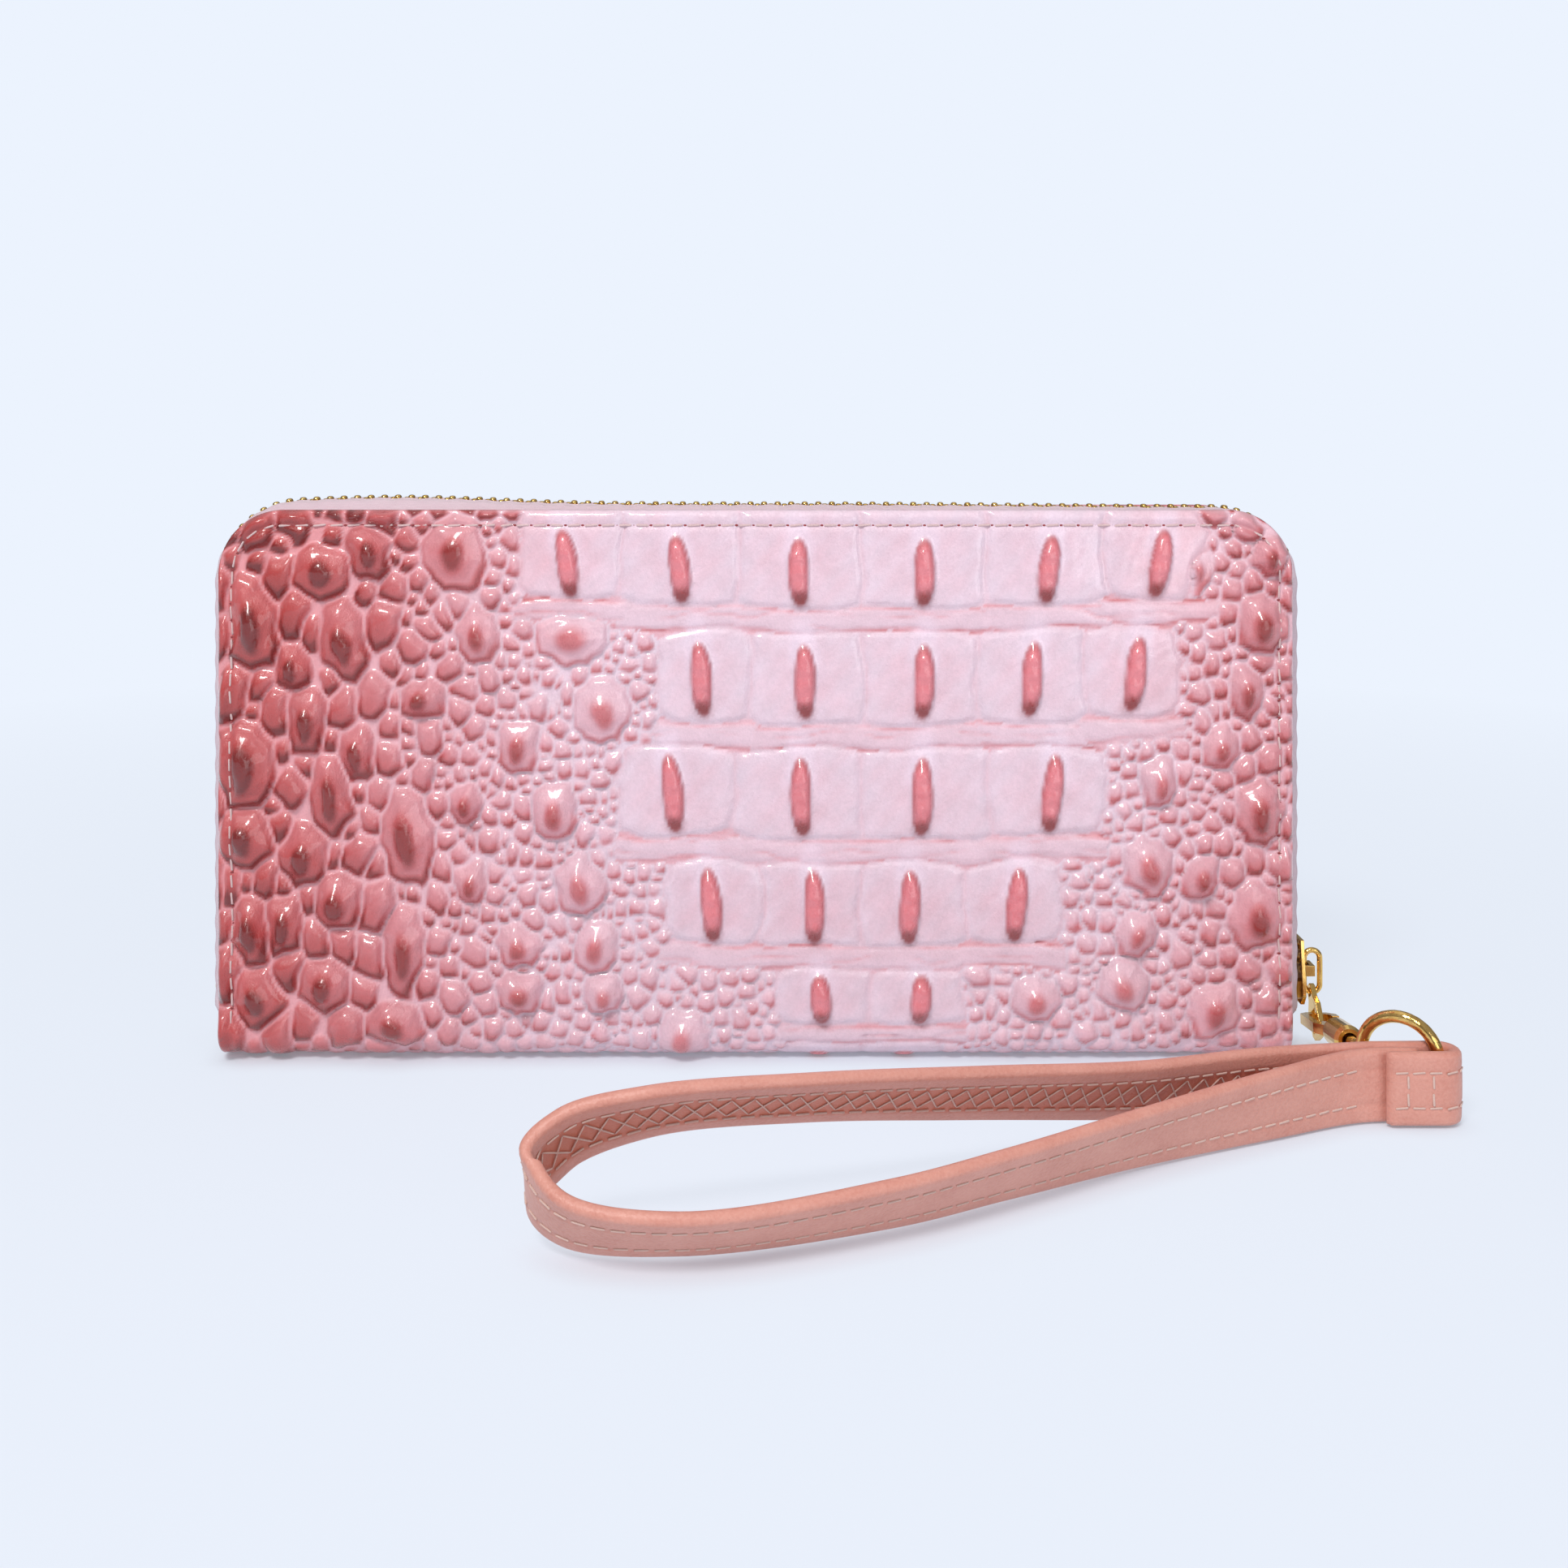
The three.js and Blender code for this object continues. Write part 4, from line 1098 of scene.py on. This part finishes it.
def ring_notch(at, tangent):
    """How much of the band's lower edge is cut away where the ring passes through its rear arm."""
    rear = (at[:, 1] > RING_BAR[1] + 1.0) & (tangent[:, 0] < 0.3)
    span = smoothstep(103.5, 106.0, at[:, 0]) * smoothstep(115.0, 113.2, at[:, 0])
    return 3.6 * span * rear


def strap_band(material):
    """The padded band, from the tab's end round the ring and along the loop to the other end."""
    at, tangent, width, out = strap_frames()
    section = band_section()
    steps = np.linalg.norm(np.gradient(at, axis=0), axis=1)
    along = np.cumsum(steps)
    ends = np.minimum(along - along[0], along[-1] - along)
    close = rounded_thickness(ends + 0.02, 1.0, 1.1)[:, None]
    across = section[None, :, 0] * (0.94 + 0.06 * close)
    notch = ring_notch(at, tangent)[:, None]
    across = np.where(across < 0, across * (1 - notch / BAND_HALF), across)
    thick = section[None, :, 1] * close
    points = at[:, None] + across[..., None] * width[:, None] + thick[..., None] * out[:, None]
    points[..., 2] = np.maximum(points[..., 2], 0.12)
    rows, columns = points.shape[:2]
    faces = grid_faces(rows, columns, close_columns=True).tolist()
    faces.append(list(range(columns))[::-1])
    faces.append([(rows - 1) * columns + k for k in range(columns)])
    piece = mesh_object("strap_leather", points.reshape(-1, 3), faces, material)
    # Marks the inner face's recess, which the strap material paints in shade.
    inner = (section[:, 1] < -BAND_THICK / 2 + 0.3) & (np.abs(section[:, 0]) < SEAM_ACROSS + 0.3)
    store(piece, "recess", np.tile(inner.astype(float), rows))
    return piece


def strap_material():
    """Salmon leather, with painted shade on the quilted recess of the inner face."""
    nodes = Nodes("strap_leather")
    where = nodes.coordinates()
    grain = nodes.cells(where, 0.7)
    fine = nodes.noise(where, 0.55, 3.0, 0.6)
    mottle = nodes.noise(where, 7.0, 4.0, 0.6)
    colour = nodes.shades(mottle, 0.3, 0.7, srgb(204, 134, 118), srgb(216, 150, 134))
    colour = nodes.blend(nodes.spread(fine, 0.35, 0.65, 0.0, 0.35), colour,
                         rgba(srgb(226, 168, 152)))
    # Painted shade on the inner face's recess.
    colour = nodes.blend(nodes.attribute("recess"), colour, rgba(srgb(206, 122, 98)))
    normal = nodes.bump(fine, 0.1, nodes.bump(grain, 0.07))
    return nodes.finish(Base_Color=colour, Roughness=0.42, Normal=normal,
                        Specular_IOR_Level=0.45, Sheen_Weight=0.1)


def along_band(rows, span):
    """The rows of a list that lie between two shares of the band's length."""
    first, last = span
    return rows[int(first * len(rows)):int(last * len(rows))]


def band_line(frames, across, out_by, span):
    """Points and outward directions along the band, across from its middle line."""
    at, _, width, out = frames
    face = 1 if out_by > 0 else -1
    points = at + across * width + out_by * out
    return along_band(points, span), along_band(face * out, span)


# Where the outer and the inner seams start and end, as shares of the band's length.
OUTER_SEAM = (0.004, 0.972)
INNER_SEAM = (0.12, 0.9)
# How far the zigzag swings out from the middle of the recess.
ZIGZAG_REACH = 2.2


def strap_stitching(thread):
    """Two seams on the outer face, two on the inner face with crossing diagonals between."""
    frames = strap_frames()
    seams = []
    outside = BAND_THICK / 2 - 0.03
    inside = -BAND_THICK / 2 + 0.1
    for across in (-SEAM_ACROSS, SEAM_ACROSS):
        for label, out_by, span in (("out", outside, OUTER_SEAM), ("in", inside, INNER_SEAM)):
            points, up = band_line(frames, across, out_by, span)
            tag = f"strap_seam_{label}_{'low' if across < 0 else 'high'}"
            seams.append(stitch_line(tag, points, up, thread, 2.8, 2.1, 0.17, 0.02))
    seams.append(strap_diagonals(frames, thread))
    return seams + tab_stitches(thread)


def strap_diagonals(frames, thread):
    """Zigzag thread across the recess of the inner face."""
    points, up = band_line(frames, 0.0, -BAND_THICK / 2 + 0.2, INNER_SEAM)
    width = along_band(frames[2], INNER_SEAM)
    knots = resample(np.concatenate([points, up, width], 1), 3.4)
    shape, faces = capsule(1.0, 0.13, 2, 6)
    spans = []
    for phase in (0, 1):
        for k in range(len(knots) - 1):
            sign = 1 if (k + phase) % 2 else -1
            start = knots[k, :3] + sign * ZIGZAG_REACH * knots[k, 6:9]
            end = knots[k + 1, :3] - sign * ZIGZAG_REACH * knots[k + 1, 6:9]
            ahead = end - start
            normal = knots[k, 3:6]
            side = np.cross(normal, ahead / np.linalg.norm(ahead))
            spans.append(((start + end) / 2 + 0.12 * normal, ahead, side, normal))
    points, all_faces = repeat_mesh(shape, faces, spans)
    return mesh_object("strap_zigzag", points, all_faces, thread)


def tab_stitches(thread):
    """Two short seams across the tab that close the fold round the ring."""
    y = RING_BAR[1] - WRAP - BAND_THICK / 2 - 0.1
    zs = np.arange(BAND_MIDDLE - SEAM_ACROSS, BAND_MIDDLE + SEAM_ACROSS, 0.25)
    shape_points = []
    for x in (108.2, 112.4):
        line = np.stack([np.full(len(zs), x), np.full(len(zs), y), zs], -1)
        shape_points.append(stitch_line(f"tab_stitches_{round(x)}", line, (0, -1, 0), thread,
                                        2.7, 2.1, 0.2, 0.0))
    return shape_points


def build_strap(thread):
    band = strap_band(strap_material())
    add_piece(band, "strap", "strap_leather", "strap_band")
    for seam in strap_stitching(thread):
        add_piece(seam, "strap", "strap_leather")


# ---- metal parts from the frame

# How far the edges of each metal part are rounded.
METAL_ROUNDING = {
    "slider_body": 0.4, "pull_tab": 0.2, "hook_body": 0.35, "hook_gate": 0.2, "swivel_eye": 0.15,
    "coin_slider": 0.15, "coin_pull": 0.12, "left_zip_stop": 0.12, "right_zip_stop": 0.12,
}
WIRES = ("link_ring", "eye_ring")


def gild(part, metal):
    """The gold finish, over corners joined up so that the rounding that follows can run on."""
    part.data.materials.clear()
    part.data.materials.append(metal)
    weld = part.modifiers.new("weld", "WELD")
    weld.merge_threshold = 0.002 * MM


def finish_metal(metal):
    """Rounds the frame's metal parts and gives them the gold finish."""
    for name in WIRES:
        gild(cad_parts[name], metal)
        round_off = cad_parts[name].modifiers.new("round", "SUBSURF")
        round_off.levels = 1
        round_off.render_levels = 1
    for name, rounding in METAL_ROUNDING.items():
        gild(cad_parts[name], metal)
        round_edges(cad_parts[name], rounding)


def round_edges(part, width):
    """Rounds the sharp edges of a frame part."""
    bevel = part.modifiers.new("edges", "BEVEL")
    bevel.width = width * MM
    bevel.segments = 3
    bevel.limit_method = "ANGLE"
    bevel.angle_limit = math.radians(40)
    bevel.harden_normals = True


def build_gate_spring(metal):
    """The leaf spring from the frame, with the gold finish, standing in for the frame's node."""
    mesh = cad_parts["gate_spring"].data.copy()
    leaf = bpy.data.objects.new("spring_leaf", mesh)
    bpy.context.scene.collection.objects.link(leaf)
    gild(leaf, metal)
    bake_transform(leaf)
    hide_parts("gate_spring")


def finish_boards(card):
    for name in ("front_board", "back_board", "spine_board"):
        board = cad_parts[name]
        board.data.materials.clear()
        board.data.materials.append(card)


# ---- inside

def cloth_swell(depth, side):
    """Gentle unevenness of a glued cloth sheet."""
    def swell(x, z, inset):
        return side * depth * wobble(x, z, 19.0, 0.7) * smoothstep(0, 6, inset)
    return swell


def hem_line(x_half, top, y, drop=2.2):
    """Surface line a little below a pocket's top edge."""
    xs = np.arange(-x_half + 1.5, x_half - 1.5, 0.5)
    return np.stack([xs, np.full(len(xs), y), np.full(len(xs), top - drop)], -1)


def build_linings(cloth):
    for name, side in SIDES:
        low, high = node_box(f"{name}_lining")
        sheet = upright_sheet(f"{name}_lining_cloth", low, high, 9.0, cloth, cloth_swell(0.08, side))
        add_piece(sheet, f"{name}_half", "lining", f"{name}_lining")


def build_bill_panels(leather, thread):
    """The leather panels behind the card pockets, with a stitched hem along the top."""
    for name, side in SIDES:
        low, high = node_box(f"{name}_bill_panel")
        sheet = upright_sheet(f"{name}_bill_leather", low, high, 6.0, leather,
                              cloth_swell(0.05, side))
        add_piece(sheet, f"{name}_half", "pocket_leather", f"{name}_bill_panel")
        inner = low.y if side > 0 else high.y
        line = hem_line(high.x - 5, high.z, inner)
        sew(f"{name}_bill_hem", line, -side, thread, f"{name}_half", "pocket_leather", 3.0, 2.1,
            0.16)


# The card pockets of one half, and how far each one's top is below the one behind it.
CARD_LAYERS = 4
CARD_STEP = 9.0


def build_card_slots(leather, thread):
    """Stepped card pockets: each layer has a rounded top edge, a hem seam and a middle seam."""
    for name, side in SIDES:
        body = f"{name}_half"
        low, high = node_box(f"{name}_card_slots")
        layer = (high.y - low.y) / CARD_LAYERS
        outer = high.y if side > 0 else low.y
        for k in range(CARD_LAYERS):
            far = outer - side * layer * k
            near = outer - side * layer * (k + 1)
            top = high.z - CARD_STEP * k
            corner_low = Vector((low.x, min(far, near), low.z))
            corner_high = Vector((high.x, max(far, near), top))
            sheet = upright_sheet(f"{name}_card_{k + 1}", corner_low, corner_high, 1.5, leather,
                                  thumb_sag(side), 90)
            nodes = (f"{name}_card_slots",) if k == 0 else ()
            add_piece(sheet, body, "pocket_leather", *nodes)
            sew(f"{name}_card_hem_{k + 1}", hem_line(high.x, top, near, 1.8), -side, thread, body,
                "pocket_leather")
        zs = np.arange(7, top - 1, 0.5)
        line = np.stack([0 * zs, np.full(len(zs), near), zs], -1)
        sew(f"{name}_card_middle", line, -side, thread, body, "pocket_leather")


def thumb_sag(side):
    """Card pockets gape very slightly between their seams."""
    def swell(x, z, inset):
        between = np.abs(np.sin(math.pi * x / 86.0))
        return -side * 0.06 * between * smoothstep(0, 3, inset)
    return swell


def build_coin_pocket(cloth, tape, metal, thread):
    """The zipped pocket in the middle: two cloth panels, tapes and fine teeth."""
    for name, side in SIDES:
        low, high = node_box(f"coin_panel_{name}")
        sheet = upright_sheet(f"coin_cloth_{name}", low, high, 2.0, cloth, cloth_swell(0.12, side))
        add_piece(sheet, "coin_pocket", "lining", f"coin_panel_{name}")
        outer = high.y if side > 0 else low.y
        sew(f"coin_hem_{name}", hem_line(high.x, high.z, outer, 1.6), side, thread, "coin_pocket",
            "lining")
        low, high = node_box(f"coin_tape_{name}")
        strip = upright_sheet(f"coin_tape_cloth_{name}", low, high, 0.5, tape, None, 160)
        add_piece(strip, "coin_pocket", "zip_tape", f"coin_tape_{name}")
        add_piece(coin_teeth(name, side, metal), "coin_pocket", "gold_metal",
                  f"coin_chain_{name}")


COIN_PITCH = 1.9


def coin_teeth(name, side, metal):
    """Fine teeth along one side of the coin zip, set between those of the other side."""
    low, high = node_box(f"coin_chain_{name}")
    centre_z = (low.z + high.z) / 2
    size = (1.0, high.y - low.y, high.z - low.z)
    body, faces = bead(size, 3.2, 6, 8)
    first = low.x + 1 + (COIN_PITCH / 2 if side > 0 else 0)
    middle_y = (low.y + high.y) / 2
    frames = [((x, middle_y, centre_z), (1, 0, 0), (0, 1, 0), (0, 0, 1))
              for x in np.arange(first, high.x - 0.6, COIN_PITCH)]
    points, all_faces = repeat_mesh(body, faces, frames)
    return mesh_object(f"coin_teeth_{name}", points, all_faces, metal)


def build_gussets(cloth):
    """Folded cloth at both ends."""
    for name, end in (("left", -1), ("right", 1)):
        low, high = node_box(f"{name}_gusset")
        inner, outer = sorted((abs(low.x), abs(high.x)))
        reach = -low.y - 0.3
        y = edge_shares(60, 0.01) * reach
        fold = 0.5 + 0.5 * np.cos(4 * math.pi * (y + reach) / (2 * reach))
        fold = smoothstep(0.0, 1.0, fold) * 0.6 + fold * 0.4
        z = low.z + (edge_shares(60, 0.005) + 1) / 2 * (high.z - low.z)
        grid_z, grid_y = np.meshgrid(z, y, indexing="ij")
        x = end * (inner + 0.3 + (outer - inner - 0.6) * fold)[None, :] + 0 * grid_z
        x = x + 0.15 * wobble(grid_y * 3, grid_z, 9.0, end) * smoothstep(0, 3, reach - abs(grid_y))
        middle = np.stack([x, grid_y, grid_z], -1)
        inset = np.minimum(grid_z - low.z, high.z - grid_z)
        inset = np.minimum(inset, reach - np.abs(grid_y))
        thick = rounded_thickness(inset, 0.22, 0.3)
        piece = two_sided(f"{name}_gusset_cloth", middle, surface_normals(middle), thick, cloth)
        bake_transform(piece)
        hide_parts(f"{name}_gusset")


# Half the length of the lining over the spine board.
LINING_HALF = 93.5


def build_spine_lining(cloth):
    """Cloth trough joining the two linings over the spine board."""
    flat = HALF_DEPTH - SPINE_RADIUS
    wall = [(9.2, 5.6), (9.1, 4.4), (8.4, 3.3), (flat, 2.85)]
    line = [(-y, z) for y, z in wall] + wall[::-1]
    knots = np.array(line)
    reach = distances(knots)[-1]
    places = (edge_shares(40, 0.01) + 1) / 2 * reach
    y, z = points_at(places, knots).T
    x = edge_shares(90, 0.003) * LINING_HALF
    grid_x, grid_y = np.meshgrid(x, y, indexing="ij")
    grid_z = np.broadcast_to(z, grid_x.shape)
    middle = np.stack([grid_x, grid_y, grid_z], -1)
    inset = np.minimum(LINING_HALF - np.abs(grid_x), np.minimum(places, reach - places)[None, :])
    thick = rounded_thickness(inset, 0.2, 0.3)
    piece = two_sided("spine_lining", middle, surface_normals(middle), thick, cloth)
    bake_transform(piece)


def build_end_tabs(leather):
    """Small leather pads that close the two ends of the spine."""
    for name in ("left", "right"):
        low, high = node_box(f"{name}_end_tab")
        y = edge_shares(24, 0.04) * (high.y - low.y) / 2
        z = (low.z + high.z) / 2 + edge_shares(14, 0.08) * (high.z - low.z) / 2
        grid_z, grid_y = np.meshgrid(z, y, indexing="ij")
        inset = np.minimum(high.y - np.abs(grid_y), np.minimum(grid_z - low.z, high.z - grid_z))
        thick = rounded_thickness(inset, (high.x - low.x) / 2, 0.9)
        middle = np.stack([np.full(grid_y.shape, (low.x + high.x) / 2), grid_y, grid_z], -1)
        normal = np.zeros(middle.shape)
        normal[..., 0] = 1
        pad = two_sided(f"{name}_tab_leather", middle, normal, thick, leather)
        add_piece(pad, "front_half", "croc_leather", f"{name}_end_tab")


# ---- studio

BACKGROUND = srgb(236, 243, 254)
# Light from below and from above, as linear values.
GLOOM = (0.12, 0.115, 0.12, 1)
GLOW = (0.38, 0.39, 0.42, 1)


def studio_world():
    """Even pale light all round, darker low down so that metal has something to reflect."""
    world = bpy.data.worlds.new("studio")
    bpy.context.scene.world = world
    nodes = Nodes("studio", world)
    path = nodes.add("ShaderNodeLightPath")
    place = nodes.add("ShaderNodeTexCoord")
    split = nodes.add("ShaderNodeSeparateXYZ")
    ramp = nodes.add("ShaderNodeValToRGB")
    nodes.link(place.outputs["Generated"], split.inputs[0])
    nodes.link(split.outputs["Z"], ramp.inputs["Fac"])
    low, high = ramp.color_ramp.elements
    low.position, low.color = 0.0, GLOOM
    high.position, high.color = 0.75, GLOW
    sky = nodes.blend(path.outputs["Is Camera Ray"], ramp.outputs["Color"], rgba(BACKGROUND))
    nodes.link(sky, nodes.shader.inputs["Color"])


def studio_light(name, place, target, size, power, colour=(1, 1, 1)):
    light = bpy.data.lights.new(name, "AREA")
    light.shape = "SQUARE"
    light.size = size * MM
    light.energy = power
    light.color = colour
    lamp = bpy.data.objects.new(name, light)
    lamp.location = Vector(place) * MM
    lamp.rotation_euler = (Vector(target) - Vector(place)).to_track_quat("-Z", "Y").to_euler()
    bpy.context.scene.collection.objects.link(lamp)


# Share of the floor that keeps the background's own colour, so that shadows stay faint.
SHADOW_PLAIN = 0.8
# How far a contact shadow reaches out over the floor.
CONTACT_REACH = 7.0
FLOOR_PAINT = (0.7, 0.74, 0.82, 1)
FLOOR_REACH = 6000.0


def studio_floor():
    """A pale floor that fades into the background some way from the wallet."""
    nodes = Nodes("floor_paint")
    tree = nodes.tree
    where = nodes.coordinates()
    length = nodes.add("ShaderNodeVectorMath", operation="LENGTH")
    nodes.link(where, length.inputs[0])
    fade = nodes.spread(length.outputs["Value"], 150.0, 520.0, SHADOW_PLAIN, 1.0)
    nearby = nodes.add("ShaderNodeAmbientOcclusion", samples=8)
    nearby.inputs["Distance"].default_value = CONTACT_REACH * MM
    open_share = nodes.spread(nearby.outputs["AO"], 0.2, 0.85, 0.25, 1.0)
    fade = nodes.math("MULTIPLY", fade, open_share)
    nodes.shader.inputs["Roughness"].default_value = 0.9
    nodes.shader.inputs["Specular IOR Level"].default_value = 0.0
    nodes.shader.inputs["Base Color"].default_value = FLOOR_PAINT
    glow = nodes.add("ShaderNodeEmission")
    glow.inputs["Color"].default_value = rgba(BACKGROUND)
    mix = nodes.add("ShaderNodeMixShader")
    nodes.link(fade, mix.inputs[0])
    nodes.link(nodes.shader.outputs[0], mix.inputs[1])
    nodes.link(glow.outputs[0], mix.inputs[2])
    nodes.link(mix.outputs[0], tree.nodes["Material Output"].inputs["Surface"])
    corners = [(x * FLOOR_REACH, y * FLOOR_REACH, 0) for x, y in ((-1, -1), (1, -1), (1, 1), (-1, 1))]
    floor = mesh_object("floor", corners, [(0, 1, 2, 3)], nodes.material, smooth=False)


# The eye's place, as shares of the wallet's width (across and away) and height (up).
EYE_ACROSS, EYE_AWAY, EYE_UP = 0.0264, 1.5736, 1.1386
LENS = 38.98
SENSOR = 36
SHIFT_DOWN = 0.2236


def studio_camera():
    """Level view of the front, with the frame shifted down onto the wallet."""
    width = 2 * HALF_WIDTH
    camera = bpy.data.cameras.new("camera")
    camera.sensor_width = SENSOR
    camera.lens = LENS
    camera.shift_y = -SHIFT_DOWN
    camera.clip_start = 0.01
    camera.clip_end = 50
    eye = bpy.data.objects.new("camera", camera)
    away = HALF_DEPTH + EYE_AWAY * width
    eye.location = Vector((EYE_ACROSS * width, -away, EYE_UP * HEIGHT)) * MM
    eye.rotation_euler = (math.pi / 2, 0, 0)
    bpy.context.scene.collection.objects.link(eye)
    bpy.context.scene.camera = eye


def build_studio():
    studio_world()
    studio_floor()
    studio_light("key", (-230, -640, 780), (0, -10, 40), 240, 6.5, (1.0, 0.985, 0.97))
    studio_light("fill", (380, -640, 160), (10, 0, 20), 420, 1.2, (0.95, 0.97, 1.0))
    studio_light("top", (0, 160, 700), (0, 0, 0), 600, 0.5)
    studio_camera()
    bpy.context.scene.view_settings.view_transform = "Standard"


# ---- assembly


def build_covers(thread):
    """The embossed wrap and its seams."""
    leather = leather_material()
    # Painted shade of the needle holes, as a dark leather.
    holes = smooth_leather_material("needle_hole_shade", srgb(158, 74, 74), srgb(140, 58, 60), 0.3,
                                    0.02, 0.7)
    for name, side, seed in (("front", -1, 11), ("back", 1, 12)):
        hide = Hide(side, seed)
        cover = leather_cover(f"{name}_leather", hide, leather)
        seams = topstitch(f"{name}_topstitch", hide, thread, holes)
        if side < 0:
            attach(cover, "front_half")
            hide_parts("front_cover", "spine")
        else:
            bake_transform(cover)
            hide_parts("back_cover")
        for seam in seams:
            add_piece(seam, f"{name}_half", "croc_leather")


def build_wallet():
    metal = metal_material()
    pink_thread = thread_material("pink_thread", srgb(240, 208, 206))
    cream_thread = thread_material("cream_thread", srgb(240, 204, 190))
    tape = woven_material("zip_tape", srgb(244, 222, 229), srgb(224, 190, 202), 0.55)
    cloth = woven_material("lining_cloth", srgb(214, 158, 166), srgb(176, 118, 128), 0.7)
    pocket = smooth_leather_material("pocket_leather", srgb(222, 166, 172), srgb(204, 144, 152),
                                     0.6, 0.06, 0.5)
    build_covers(pink_thread)
    build_outer_zip(tape, metal)
    build_strap(cream_thread)
    finish_metal(metal)
    build_gate_spring(metal)
    finish_boards(cardboard_material())
    build_linings(cloth)
    build_bill_panels(pocket, pink_thread)
    build_card_slots(pocket, pink_thread)
    build_coin_pocket(cloth, tape, metal, pink_thread)
    build_gussets(cloth)
    build_spine_lining(cloth)
    build_end_tabs(pocket)


build_wallet()
build_studio()
